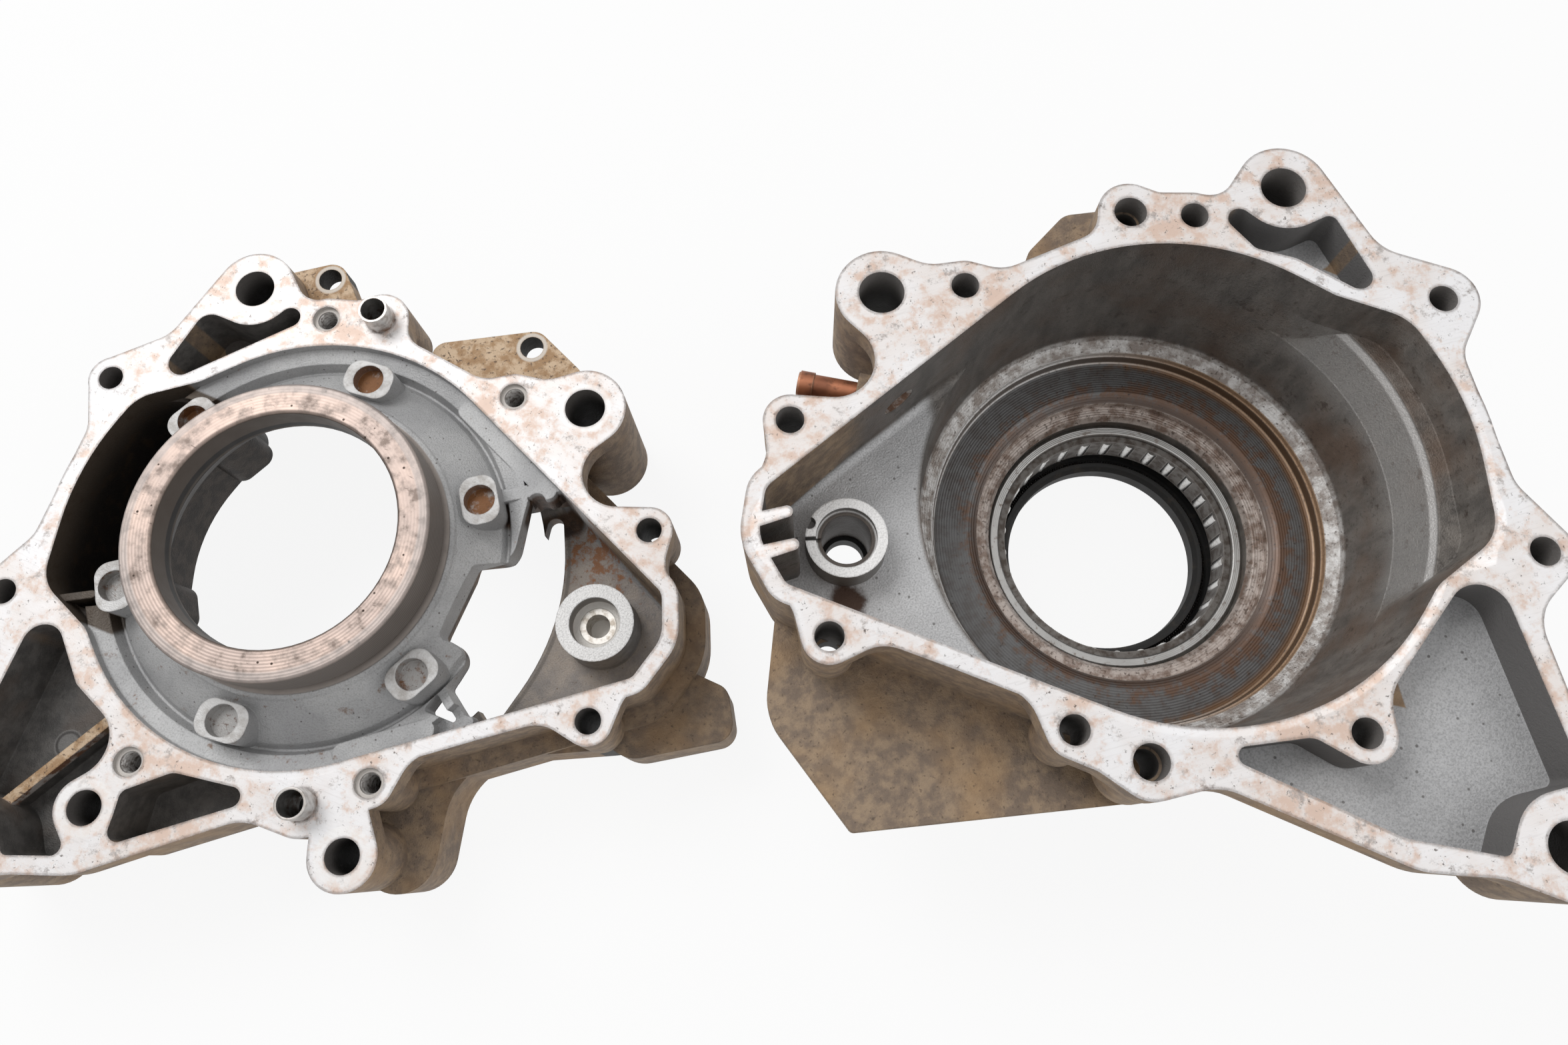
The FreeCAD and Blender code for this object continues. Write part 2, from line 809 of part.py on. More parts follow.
def hub_profile():
    """Hub ring, rim, cone and dish of the left casting, with the hollow under them."""
    bore = size("ring_bore")
    ring = size("ring_radius")
    rim = size("rim_radius")
    rise = size("rim_rise")
    dish = size("dish_depth")
    shoulder = size("shoulder_inner_radius")
    bowl = size("bowl_radius")
    floor = size("dish_floor")
    bottom = -size("hub_bottom")
    recess = size("hub_recess_radius")
    recess_top = size("hub_recess_top")
    return [
        (bore, size("hub_rise") - 0.8),
        (bore + 0.8, size("hub_rise")),
        (ring - 0.8, size("hub_rise")),
        (ring, size("hub_rise") - 0.8),
        (ring, rise + 4.0),
        (ring - 1.6, rise + 3.4),
        (ring - 1.6, rise + 1.4),
        (ring + 0.6, rise + 0.6),
        (rim - 0.6, rise),
        (rim, rise - 0.8),
        (shoulder - 3.0, -dish + 2.2),
        (shoulder - 1.6, -dish),
        (shoulder - 0.8, -dish),
        (shoulder + 0.6, -size("shoulder_rise")),
        (bowl - 0.4, -size("shoulder_rise") + 1.2),
        (bowl + 1.5, -size("shoulder_rise") + 1.2),
        (bowl + 1.5, -size("shoulder_rise") - floor),
        (shoulder, -dish - floor),
        (rim + 6.0, -floor - 3.0),
        (rim + 4.5, bottom),
        (rim, bottom),
        (recess, 0.0),
        (recess, recess_top),
        (bore, recess_top),
    ]


def shelf_outlines():
    """The dish carried on to the straight walls of the narrow end, above and below."""
    return [
        [(-27.0, 64.0, 5.0), (-68.5, 49.0, 2.2), (-53.0, 39.0, 2.2)],
        [(-56.0, -22.0, 3.0), (-72.5, -33.5, 3.5), (-42.0, -56.0, 5.0)],
    ]


def shelf_edge_outlines():
    """The raised edge of the dish along the same two walls."""
    return [
        [(-28.5, 64.3, 3.4), (-66.5, 47.5, 3.4)],
        [(-63.5, -40.1, 3.4), (-42.6, -56.0, 3.4)],
    ]


def deep_pocket_outline():
    """The deep hollow between the hub and the bulged side of the wall."""
    return [
        (55.5, -37.5, 3.0),
        (65.0, -32.0, 13.3),
        (0.0, 0.0, size("bulge_radius")),
        (67.5, 18.3, 14.5),
        (60.0, 31.0, 3.0),
        (0.0, 0.0, -size("deep_pocket_inner_radius")),
    ]


def window_outlines():
    """The opening between the dish and the narrow end, and the slot behind its lower lug."""
    inner = size("window_inner_radius")
    return [
        [
            (-65.0, 42.5, 3.0),
            (0.0, 0.0, size("window_outer_radius")),
            (-73.0, -28.0, 3.0),
            (-65.0, -24.5, 1.5),
            (-59.5, -16.5, -5.2),
            (-2.0 - inner, -9.5, 2.0),
            (-2.0 - inner, 13.5, 2.0),
            (-58.0, 25.0, -7.0),
        ],
        [(-62.3, -29.4, 1.0), (-69.0, -33.6, 1.0), (-61.5, -33.5, 1.0)],
    ]


def foot_outline():
    """The low outside wall between the narrow end and the outer column."""
    column_x, column_y = place("column_r")
    return [
        (-108.0, -8.0, 18.0),
        (-96.0, -58.0, -22.0),
        (column_x - 7.5, column_y + 3.5, 12.5),
        (-30.0, -60.0, 10.0),
        (-60.0, 0.0, 20.0),
    ]


def arm_outline():
    """The short arm that sticks out at the narrow end."""
    return [(-143.0, 4.0, 6.0), (-146.5, -3.0, 6.5), (-122.0, -12.0, 12.0), (-108.0, 0.0, 12.0)]


def web_outlines():
    """The low plates that carry the two outer bolt holes of the left casting."""
    boss = size("web_boss_radius")
    px, py = place("web_p")
    qx, qy = place("web_q")
    return [
        [(60.0, 84.0, 8.0), (px, py, boss), (34.0, 84.0, 6.0), (45.0, 74.0, 6.0)],
        [(-8.0, 83.0, 5.5), (qx, qy, boss), (-52.0, 90.0, 6.0), (-44.0, 76.0, 8.0)],
    ]


def column_neck():
    """The strip of face that joins the outer column to the flange."""
    column_x, column_y = place("column_r")
    return [(column_x, column_y, size("column_radius")), (-49.0, -68.0, 8.0)]


def left_selector_bore():
    """Mouth and blind bush seat of the left selector boss, as (radius, height) points."""
    mouth = size("left_selector_mouth_radius")
    seat = size("selector_bush_radius")
    top = -size("left_selector_boss_top")
    mouth_floor = top - size("left_selector_mouth_depth")
    bottom = mouth_floor - size("selector_bush_length")
    return [(0.0, top + 1.0), (mouth, top + 1.0), (mouth, mouth_floor), (seat, mouth_floor),
            (seat, bottom), (0.0, bottom)]


def left_case():
    case = SubPart("left_case", mirrored=True)
    wall = size("wall")
    trays = [upper_tray_outline(LEFT)] + lower_tray_outlines(LEFT)

    # Outside walls, bosses and feet
    case.belts("flange", [face_outline(size("ear_radius_left"))], cell("flange_thickness"))
    case.belts("chamber_wall", [chamber_outline()], "Sizes.chamber_depth + Sizes.chamber_floor", grow=wall)
    case.belts("bulge_wall", [bulge_outline()], "Sizes.deep_pocket_depth + Sizes.tray_floor", grow=wall)
    for i, tray in enumerate(trays):
        case.belts(f"tray_wall_{i}", [tray], "Sizes.left_tray_depth + Sizes.tray_floor", grow=wall - 1.5)
    case.circles("bolt_bosses", shared_circles(BOLT_HOLES, "bolt_boss_radius"), cell("bolt_boss_depth"))
    case.circles("dowel_bosses", shared_circles(DOWEL_HOLES, "dowel_boss_radius"), cell("dowel_boss_depth"))
    feet = shared_circles(MOUNT_HOLES, "mount_boss_radius") + shared_circles(["column_r"], "column_radius")
    case.circles("feet", feet, cell("left_height"))
    case.belts("column_neck", [column_neck()], cell("flange_thickness"))
    case.circles("inner_column", shared_circles(["column_s"], "column_land_radius"), cell("belly_bottom"))
    case.belts("belly", [chamber_outline()], "Sizes.belly_bottom - Sizes.belly_top",
               "-Sizes.belly_top", grow=size("belly_offset"))
    case.belts("foot", [foot_outline()], "Sizes.arm_bottom - Sizes.arm_top", "-Sizes.arm_top")
    case.belts("arm", [arm_outline()], "Sizes.arm_bottom - Sizes.arm_top", "-Sizes.arm_top")
    for i, outline in enumerate(web_outlines()):
        case.belts(f"web_{i}", [outline], cell("web_thickness"), "-Sizes.web_top")
    case.add("walls")

    # Narrow end, open middle and trays
    case.belts("chamber", [chamber_outline()], cell("chamber_depth"))
    case.cut("hollowed")
    case.round_floor("rounded", -size("chamber_depth"), size("floor_fillet"))
    case.belts("bulge", [bulge_outline()], cell("dish_depth"))
    case.circles("bowl", [("0", "0", cell("bowl_radius"))], "Sizes.left_height + 2", "1")
    case.belts("belly_hollow", [chamber_outline()],
               "Sizes.arm_bottom - Sizes.chamber_depth - Sizes.chamber_floor + 1",
               "-Sizes.chamber_depth - Sizes.chamber_floor", grow=size("belly_offset") - wall)
    case.belts("trays", trays, cell("left_tray_depth"))
    case.cut("opened")

    # Hub, dish, wall of the deep pocket, selector boss and the rib across the lower tray
    case.turned("hub", hub_profile())
    case.belts("shelf", shelf_outlines(), cell("dish_floor"), "-Sizes.dish_depth")
    edge_top = "(1.2 - Sizes.shoulder_rise)"
    case.belts("shelf_edge", shelf_edge_outlines(),
               f"Sizes.dish_depth + Sizes.dish_floor + {edge_top}", edge_top)
    case.belts("deep_pocket_wall", [deep_pocket_outline()],
               "Sizes.deep_pocket_depth + Sizes.tray_floor - Sizes.dish_depth", "-Sizes.dish_depth",
               grow=wall - 1.0)
    rib = [(-69.5, 50.5, 2.2), (-53.0, 40.0, 2.2)]
    case.belts("rib", [rib], "Sizes.deep_pocket_depth / 2", edge_top)
    case.circles("selector_boss", selector_circle("left_selector_boss_radius"),
                 "Sizes.belly_bottom - Sizes.left_selector_boss_top", "-Sizes.left_selector_boss_top")
    half = size("tray_rib_half_width")
    case.belts("tray_rib", [[(37.3, -72.8, half), (56.8, -111.0, half)]],
               "Sizes.left_tray_depth + 2 - Sizes.tray_rib_depth", "-Sizes.tray_rib_depth")
    case.add("hubbed")
    case.belts("deep_pocket", [deep_pocket_outline()], "Sizes.deep_pocket_depth + 6", "6")
    case.cut("pocketed")

    # Pads round the hub; those in the deep pocket stand on its floor
    last = int(size("pad_count")) - 1
    pads = [pad_outline(k) for k in range(last + 1)]
    case.belts("pads", pads[1:last], "Sizes.pad_top + Sizes.dish_depth + 2", cell("pad_top"))
    case.belts("pocket_pads", [pads[0], pads[last]],
               "Sizes.pad_top + Sizes.deep_pocket_depth + 2", cell("pad_top"))
    pocket_rib = [(60.5, -40.0, 1.3), (70.5, -45.5, 1.3)]
    case.belts("pocket_rib", [pocket_rib], cell("dish_depth"), edge_top)
    case.add("padded")

    # Window, dimples, selector's bore and drilled holes
    case.circles("dimples", pad_circles(), cell("dimple_depth"), cell("pad_top"))
    case.belts("window", window_outlines(), "Sizes.left_height + 8", "6")
    case.turned("selector_bore", left_selector_bore(), SELECTOR_PLACE)
    holes = shared_circles(PLAIN_HOLES, "bolt_clearance_radius") + shared_circles(DOWEL_HOLES, "dowel_bore")
    holes += shared_circles(MOUNT_HOLES, "mount_hole_radius")
    holes += shared_circles(COLUMN_HOLES, "column_hole_radius")
    holes += shared_circles(WEB_HOLES, "web_hole_radius")
    case.circles("holes", holes, "Sizes.left_height + 1")
    case.circles("dowel_seats", shared_circles(DOWEL_HOLES, "dowel_radius"), cell("dowel_seat_depth"))
    case.circles("tapped_holes", shared_circles(TAPPED_HOLES, "tapped_radius"), cell("tapped_depth"))
    case.circles("tapped_mouths", shared_circles(TAPPED_HOLES, "tapped_mouth_radius"),
                 cell("tapped_mouth_depth"))
    case.cut("drilled")
    return case.finish(*LEFT_PLACE)


# Pieces that stay in the castings

ROLLER_TOP = "-Sizes.cup_top_depth - Sizes.cup_length / 2 + Sizes.roller_length / 2"
ROLLER_PITCH = "(Sizes.cup_radius - Sizes.cup_wall - Sizes.race_clearance - Sizes.roller_radius)"


def roller_circles(radius):
    """One circle at each place of a needle roller."""
    angles = [f"({360 * i} / Sizes.roller_count)" for i in range(int(size("roller_count")))]
    return [(f"{ROLLER_PITCH} * cos({a})", f"{ROLLER_PITCH} * sin({a})", radius) for a in angles]


def bearing_cup():
    """Drawn steel cup of the needle bearing, with a lip turned in at each end."""
    cup = SubPart("needle_bearing_cup")
    outer = size("cup_radius")
    race = outer - size("cup_wall")
    lip = size("cup_lip_radius")
    skin = size("cup_lip_thickness")
    top = -size("cup_top_depth")
    bottom = top - size("cup_length")
    bend = 1.2
    edge = 0.5
    cup.turned("shell", [
        (lip, top - skin), (lip, top - edge), (lip + edge, top), (outer - bend, top), (outer, top - bend),
        (outer, bottom + edge), (outer - edge, bottom), (lip, bottom), (lip, bottom + skin),
        (race, bottom + skin), (race, top - skin),
    ])
    cup.add("whole")
    return cup.finish(cell("right_height"))


def bearing_cage():
    """Cage ring with one window for each needle roller."""
    cage = SubPart("bearing_cage")
    inner = size("cage_inner_radius")
    outer = size("cup_radius") - size("cup_wall") - size("cage_radial_clearance")
    inset = size("cup_lip_thickness") + size("cage_end_clearance")
    top = -size("cup_top_depth") - inset
    bottom = -size("cup_top_depth") - size("cup_length") + inset
    cage.turned("ring", [(inner, bottom), (outer, bottom), (outer, top), (inner, top)])
    cage.add("whole")
    cage.circles("windows", roller_circles("Sizes.roller_radius + Sizes.pocket_clearance"),
                 "Sizes.roller_length + 2 * Sizes.pocket_clearance",
                 f"{ROLLER_TOP} + Sizes.pocket_clearance")
    cage.cut("windowed")
    return cage.finish(cell("right_height"))


def needle_rollers():
    """All the needle rollers of the bearing, each standing free in its window."""
    rollers = SubPart("needle_rollers")
    rollers.circles("set", roller_circles(cell("roller_radius")), cell("roller_length"), ROLLER_TOP)
    rollers.add("whole")
    return rollers.finish(cell("right_height"))


def axle_seal():
    """Rubber axle seal, flush with the outside of the hub."""
    seal = SubPart("axle_seal")
    outer = size("seal_radius")
    lip = size("seal_lip_radius")
    skin = size("seal_skin")
    groove = lip + size("seal_lip_thickness")
    bottom = -size("right_height")
    top = bottom + size("seal_length")
    seal.turned("ring", [
        (lip, bottom), (outer, bottom), (outer, top), (outer - skin, top), (outer - skin, bottom + skin),
        (groove + 0.6, bottom + skin), (groove, bottom + skin + 0.6), (groove, top - 0.9),
        (groove + 0.7, top - 0.4), (groove + 0.2, top + 0.4), (lip + 1.4, top + 0.2), (lip, top - 1.5),
    ])
    seal.add("whole")
    return seal.finish(cell("right_height"))


def axle_seal_spring():
    """Garter spring that holds the seal lip on the shaft."""
    spring = doc.addObject("Part::Torus", "axle_seal_spring")
    spring.setExpression("Radius1", "Sizes.seal_lip_radius + Sizes.seal_lip_thickness + Sizes.spring_wire_radius")
    spring.setExpression("Radius2", cell("spring_wire_radius"))
    spring.setExpression(".Placement.Base.z", "Sizes.spring_height")
    return spring


def bored_ring(label, circle, outer, inner, length, level, mirrored=False):
    """A plain ring on a vertical line."""
    ring = SubPart(label, mirrored)
    ring.circles("outside", circle(outer), cell(length), level)
    ring.add("whole")
    ring.circles("inside", circle(inner), cell(length), level)
    ring.cut("bored")
    return ring.finish(*(LEFT_PLACE if mirrored else (cell("right_height"),)))


def dowel(label, hole):
    """Hollow steel dowel, half of it standing above the left mating face."""
    return bored_ring(label, lambda radius: shared_circles([hole], radius), "dowel_radius", "dowel_bore",
                      "dowel_length", "Sizes.dowel_length - Sizes.dowel_seat_depth", mirrored=True)


def breather_fitting():
    """Breather pipe with a collar at its outer end, pressed into its boss."""
    fitting = SubPart("breather_fitting")
    length = "Sizes.breather_reach - Sizes.breather_seat_reach"
    breather_solid(fitting, "pipe", "breather_radius", "breather_seat_reach", length)
    breather_solid(fitting, "collar", "breather_collar_radius", "breather_collar_reach",
                   cell("breather_collar_length"))
    fitting.add("whole")
    breather_solid(fitting, "bore", "breather_bore", "breather_seat_reach", length)
    fitting.cut("bored")
    return fitting.finish(cell("right_height"))


parts = [
    right_case(),
    left_case(),
    bearing_cup(),
    bearing_cage(),
    needle_rollers(),
    axle_seal(),
    axle_seal_spring(),
    bored_ring("selector_shaft_seal", selector_circle, "selector_seal_radius", "selector_seal_lip",
               "selector_seal_length", "Sizes.selector_seal_length - Sizes.selector_boss_bottom"),
    bored_ring("selector_shaft_bush", selector_circle, "selector_bush_radius", "selector_bush_bore",
               "selector_bush_length", "-Sizes.left_selector_boss_top - Sizes.left_selector_mouth_depth",
               mirrored=True),
    dowel("dowel_upper", "c"),
    dowel("dowel_lower", "l"),
    breather_fitting(),
]
doc.recompute()

# Every object and every sub-part is checked before anything is written
for item in doc.Objects:
    if "Invalid" in item.State or "Error" in item.State:
        raise RuntimeError(f"{item.Name} failed: {item.State}")
for part in parts:
    if part.Shape.isNull() or not part.Shape.isValid():
        raise RuntimeError(f"{part.Label} has no valid shape")
os.makedirs("parts", exist_ok=True)
for part in parts:
    part.Shape.exportStep(f"parts/{part.Label}.step")
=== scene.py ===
import bpy
import bmesh
import math
from mathutils import Matrix, Vector


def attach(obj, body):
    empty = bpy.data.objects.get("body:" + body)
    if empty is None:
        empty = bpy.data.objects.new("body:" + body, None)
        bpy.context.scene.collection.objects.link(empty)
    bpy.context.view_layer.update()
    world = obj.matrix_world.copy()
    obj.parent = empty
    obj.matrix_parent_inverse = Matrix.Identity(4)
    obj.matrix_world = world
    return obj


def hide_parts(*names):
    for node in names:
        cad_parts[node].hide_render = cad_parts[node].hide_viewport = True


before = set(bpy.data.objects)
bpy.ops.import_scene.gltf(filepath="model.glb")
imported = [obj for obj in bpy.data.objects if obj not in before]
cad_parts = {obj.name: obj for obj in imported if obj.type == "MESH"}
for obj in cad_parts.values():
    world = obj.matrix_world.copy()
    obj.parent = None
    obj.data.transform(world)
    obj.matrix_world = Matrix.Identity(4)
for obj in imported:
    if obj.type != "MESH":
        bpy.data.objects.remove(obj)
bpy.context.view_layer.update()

# Right casting. Sand-cast aluminium with a milled mating face; the bowl is varnished dark by old
# oil, the bearing seat is turned, and the outside carries baked-on tan dirt.


class Field:
    """A number, colour or direction that varies over a surface; its sums and products add their nodes."""

    def __init__(self, finish, socket):
        self.finish = finish
        self.socket = socket

    def maths(self, operation, first, second=0.0, third=0.0):
        return self.finish.node("Math", {"operation": operation}, {0: first, 1: second, 2: third})

    def __add__(self, other):
        return self.maths("ADD", self, other)

    def __radd__(self, other):
        return self.maths("ADD", other, self)

    def __sub__(self, other):
        return self.maths("SUBTRACT", self, other)

    def __rsub__(self, other):
        return self.maths("SUBTRACT", other, self)

    def __mul__(self, other):
        return self.maths("MULTIPLY", self, other)

    def __rmul__(self, other):
        return self.maths("MULTIPLY", other, self)

    def __or__(self, other):
        """Where either mask is on."""
        return self.maths("MAXIMUM", self, other)

    def __and__(self, other):
        """Where both masks are on."""
        return self.maths("MULTIPLY", self, other)

    def __invert__(self):
        return self.maths("SUBTRACT", 1.0, self)

    def size(self):
        return self.maths("ABSOLUTE", self)

    def wave(self):
        return self.maths("SINE", self)

    def rising(self, low, high):
        """0 below low, 1 above high, and smooth between them; falls where high is the lower one."""
        settings = {"interpolation_type": "SMOOTHSTEP"}
        if high < low:
            return ~self.rising(high, low)
        return self.finish.node("MapRange", settings, {"Value": self, "From Min": low, "From Max": high})

    def within(self, low, high, soft):
        """1 between low and high."""
        return self.rising(low - soft, low + soft) & self.rising(high + soft, high - soft)


class Finish:
    """One material, worked up from its surface coordinates in millimetres."""

    def __init__(self, name, origin=(0.0, 0.0, 0.0), turn=0.0, mirrored=False):
        self.material = bpy.data.materials.new(name)
        self.material.use_nodes = True
        self.tree = self.material.node_tree
        self.shader = self.tree.nodes["Principled BSDF"]
        place = self.node("TexCoord", output="Object")
        place = self.vector("SCALE", place, scale=1000.0)
        place = self.vector("SUBTRACT", place, origin)
        if turn:
            place = self.node("VectorRotate", {"rotation_type": "Z_AXIS"}, {"Vector": place, "Angle": -turn})
        if mirrored:
            place = self.vector("MULTIPLY", place, (-1.0, 1.0, 1.0))
        self.place = place
        self.x, self.y, self.z = (self.node("SeparateXYZ", inputs={0: place}, output=i) for i in range(3))
        self.flat = self.vector("MULTIPLY", place, (1.0, 1.0, 0.0))
        self.radius = self.vector("LENGTH", self.flat, output=1)
        self.normal = self.node("NewGeometry", output="Normal")
        self.facing_up = self.node("SeparateXYZ", inputs={0: self.normal}, output=2)

    def node(self, kind, settings={}, inputs={}, output=0):
        """A node of that type: its settings first, then the values or links of its sockets."""
        made = self.tree.nodes.new("ShaderNode" + kind)
        for name, value in settings.items():
            setattr(made, name, value)
        for name, value in inputs.items():
            if isinstance(value, Field):
                self.tree.links.new(value.socket, made.inputs[name])
            else:
                made.inputs[name].default_value = value
        return Field(self, made.outputs[output])

    def vector(self, operation, first, second=(0.0, 0.0, 0.0), scale=1.0, output=0):
        return self.node("VectorMath", {"operation": operation}, {0: first, 1: second, 3: scale}, output)

    def grain(self, width, detail=2.0, rough=0.5, stretch=(1.0, 1.0, 1.0), shift=0.0):
        """Cloudy variation from 0 to 1, with patches about that many millimetres wide."""
        where = self.vector("MULTIPLY", self.place, stretch)
        where = self.vector("ADD", where, (shift, shift * 0.7, shift * 1.3))
        return self.node("TexNoise", inputs={"Vector": where, "Scale": 1.0 / width, "Detail": detail,
                                             "Roughness": rough})

    def pits(self, pitch, share, shift=0.0):
        """Small round spots about pitch millimetres apart; a larger share makes them larger."""
        where = self.vector("ADD", self.place, (shift, shift, shift))
        cell = self.node("TexVoronoi", inputs={"Vector": where, "Scale": 1.0 / pitch, "Randomness": 1.0})
        return cell.rising(share, share * 0.5)

    def mix(self, mask, first, second):
        """The second colour over the first where the mask is on."""
        return self.node("Mix", {"data_type": "RGBA"}, {0: mask, 6: first, 7: second}, output=2)

    def distance(self, x, y):
        """Distance in plan from a point."""
        return self.vector("DISTANCE", self.flat, (x, y, 0.0), output=1)

    def nearest(self, points):
        """Distance in plan from the nearest of several points."""
        least = self.distance(*points[0])
        for point in points[1:]:
            least = least.maths("MINIMUM", least, self.distance(*point))
        return least

    def strip(self, first, second, soft=0.3):
        """1 inside the outline round two circles (x, y, radius) and the straight lines that touch both."""
        ax, ay, ar = first
        bx, by, br = second
        length = math.hypot(bx - ax, by - ay)
        dx, dy = (bx - ax) / length, (by - ay) / length
        lean = (ar - br) / length
        slant = math.sqrt(1.0 - lean * lean)
        along = (self.x - ax) * dx + (self.y - ay) * dy
        aside = ((self.x - ax) * dy - (self.y - ay) * dx).size()
        between = aside * slant + along * lean - ar
        run = along * slant - aside * lean
        end = slant * length
        body = between.rising(soft, -soft) & run.rising(-soft, soft) & run.rising(end, end - soft)
        return self.disc(first, soft) | self.disc(second, soft) | body

    def disc(self, circle, soft=0.3):
        """1 inside a circle (x, y, radius)."""
        x, y, radius = circle
        return self.distance(x, y).rising(radius + soft, radius - soft)

    def edges(self, radius):
        """1 along the sharp edges of the shape."""
        rounded = self.node("Bevel", {"samples": 4}, {"Radius": radius / 1000})
        alike = self.vector("DOT_PRODUCT", rounded, self.normal, output=1)
        return (1.0 - alike).rising(0.02, 0.22)

    def done(self, colour, roughness, metallic, height=None, depth=0.3, edge_radius=0.0, **constants):
        """Sets the shader: colour, roughness and metal, a relief that many millimetres deep, soft edges."""
        feeds = {"Base Color": colour, "Roughness": roughness, "Metallic": metallic, **constants}
        for name, value in feeds.items():
            if isinstance(value, Field):
                self.tree.links.new(value.socket, self.shader.inputs[name])
            else:
                self.shader.inputs[name].default_value = value
        relief = {"Strength": 1.0, "Distance": depth / 1000}
        if edge_radius:
            relief["Normal"] = self.node("Bevel", {"samples": 4}, {"Radius": edge_radius / 1000})
        if height is not None:
            relief["Height"] = height
            relief["Normal"] = relief.get("Normal", self.normal)
            self.tree.links.new(self.node("Bump", inputs=relief).socket, self.shader.inputs["Normal"])
        return self.material


def shade(red, green, blue):
    """A colour as it is seen, from three numbers up to 255."""
    return tuple((part / 255 / 12.92 if part < 10.3 else ((part / 255 + 0.055) / 1.055) ** 2.4)
                 for part in (red, green, blue)) + (1.0,)


def cast_skins(f):
    """The skins that both castings share: milled face, sandy cast skin, oil varnish, outside dirt."""
    broad = f.grain(26.0, 3.0, 0.55, shift=11.0)
    patchy = f.grain(5.0, 5.0, 0.65, shift=3.0)
    fine = f.grain(1.3, 4.0, 0.6, shift=7.0)
    sand = f.grain(0.55, 2.0, 0.6)
    edge = f.edges(2.2)

    cloudy = f.grain(7.5, 6.0, 0.74, shift=41.0)
    milled = f.grain(0.7, 3.0, 0.6, stretch=(0.1, 1.0, 1.0), shift=23.0)
    face = f.mix(broad.rising(0.35, 0.65), shade(235, 234, 235), shade(226, 219, 215))
    face = f.mix(milled.rising(0.5, 0.8) * 0.3, face, shade(190, 184, 181))
    tan = (patchy + (broad - 0.5) * 0.6 + edge * 0.2).rising(0.47, 0.70)
    face = f.mix(tan * 0.8, face, shade(212, 184, 166))
    face = f.mix((cloudy + edge * 0.2).rising(0.56, 0.68) * 0.8, face, shade(160, 152, 148))
    face = f.mix((patchy + edge * 0.26).rising(0.69, 0.80) * 0.75, face, shade(136, 104, 82))
    specks = f.grain(1.5, 6.0, 0.75, shift=19.0)
    face = f.mix((specks + edge * 0.2).rising(0.60, 0.67) * 0.85, face, shade(84, 74, 68))

    skin = f.mix(f.grain(9.0, 4.0, 0.6, shift=5.0), shade(210, 210, 211), shade(186, 186, 187))
    skin = f.mix(sand.rising(0.35, 0.75) * 0.6, skin, shade(138, 138, 139))
    skin = f.mix(f.pits(4.5, 0.13, 2.0) * 0.7, skin, shade(80, 76, 72))

    runs = f.grain(7.0, 5.0, 0.66, stretch=(1.0, 1.0, 0.35), shift=9.0)
    varnish = f.mix(runs.rising(0.3, 0.7), shade(104, 100, 96), shade(148, 142, 136))
    varnish = f.mix(broad.rising(0.45, 0.7) * 0.7, varnish, shade(122, 100, 84))
    varnish = f.mix(fine.rising(0.56, 0.72) * 0.6, varnish, shade(62, 56, 52))
    varnish = f.mix((patchy + cloudy * 0.4).rising(0.78, 0.92) * 0.7, varnish, shade(66, 52, 44))

    dirt = f.mix(patchy.rising(0.35, 0.62), shade(164, 142, 118), shade(128, 112, 98))
    dirt = f.mix(broad.rising(0.45, 0.7) * 0.55, dirt, shade(176, 142, 102))
    dirt = f.mix(fine.rising(0.58, 0.72) * 0.7, dirt, shade(84, 70, 58))
    return face, skin, varnish, dirt, (broad, patchy, fine, sand)


right_holes = [(-67.5, 78.5), (-42.5, 73.7), (14.3, 83.6), (32.7, 77.0), (62.5, 78.5), (93.1, 29.8),
               (86.3, -49.7), (-56.0, -60.9), (-112.2, -18.6), (-39.3, -74.4), (-105.4, 46.2),
               (57.5, -124.0), (18.4, -82.7)]
selector = (-97.1, 13.1)

f = Finish("cast aluminium, right casting", origin=(0.0, 0.0, 104.0))
face, skin, varnish, dirt, (broad, patchy, fine, sand) = cast_skins(f)
level = f.facing_up.rising(0.85, 0.97)
face_mask = level & f.z.rising(-0.4, -0.1)
bulge = f.strip((65.0, -32.0, 16.5), (66.0, 18.3, 18.6)) | f.disc((0.0, 0.0, 87.0)) & f.x.rising(30.0, 31.0)
bulge = bulge & f.y.within(-49.5, 40.0, 0.5)
inside = f.strip((0.0, 0.0, 75.8), (-111.0, 13.5, 14.7)) | bulge
boss = f.distance(*selector)
floor_mask = inside & f.radius.rising(73.0, 75.0) & f.z.rising(-29.5, -32.0) & f.facing_up.rising(0.2, 0.8)
floor_mask = floor_mask & f.x.rising(-55.0, -60.0)
tray = f.strip((56.0, -62.0, 15.5), (53.5, -106.0, 17.5)) | f.strip((28.0, -96.0, 19.5), (44.0, -114.0, 9.0))
tray = tray | f.strip((20.0, -92.0, 14.0), (-14.2, -80.5, 4.6))
tray = tray | f.strip((46.0, 70.0, 5.6), (71.0, 60.0, 5.6)) | f.strip((52.0, 62.0, 8.0), (71.5, 46.0, 6.4))
tray = tray & ~inside & f.z.rising(-14.6, -14.2)

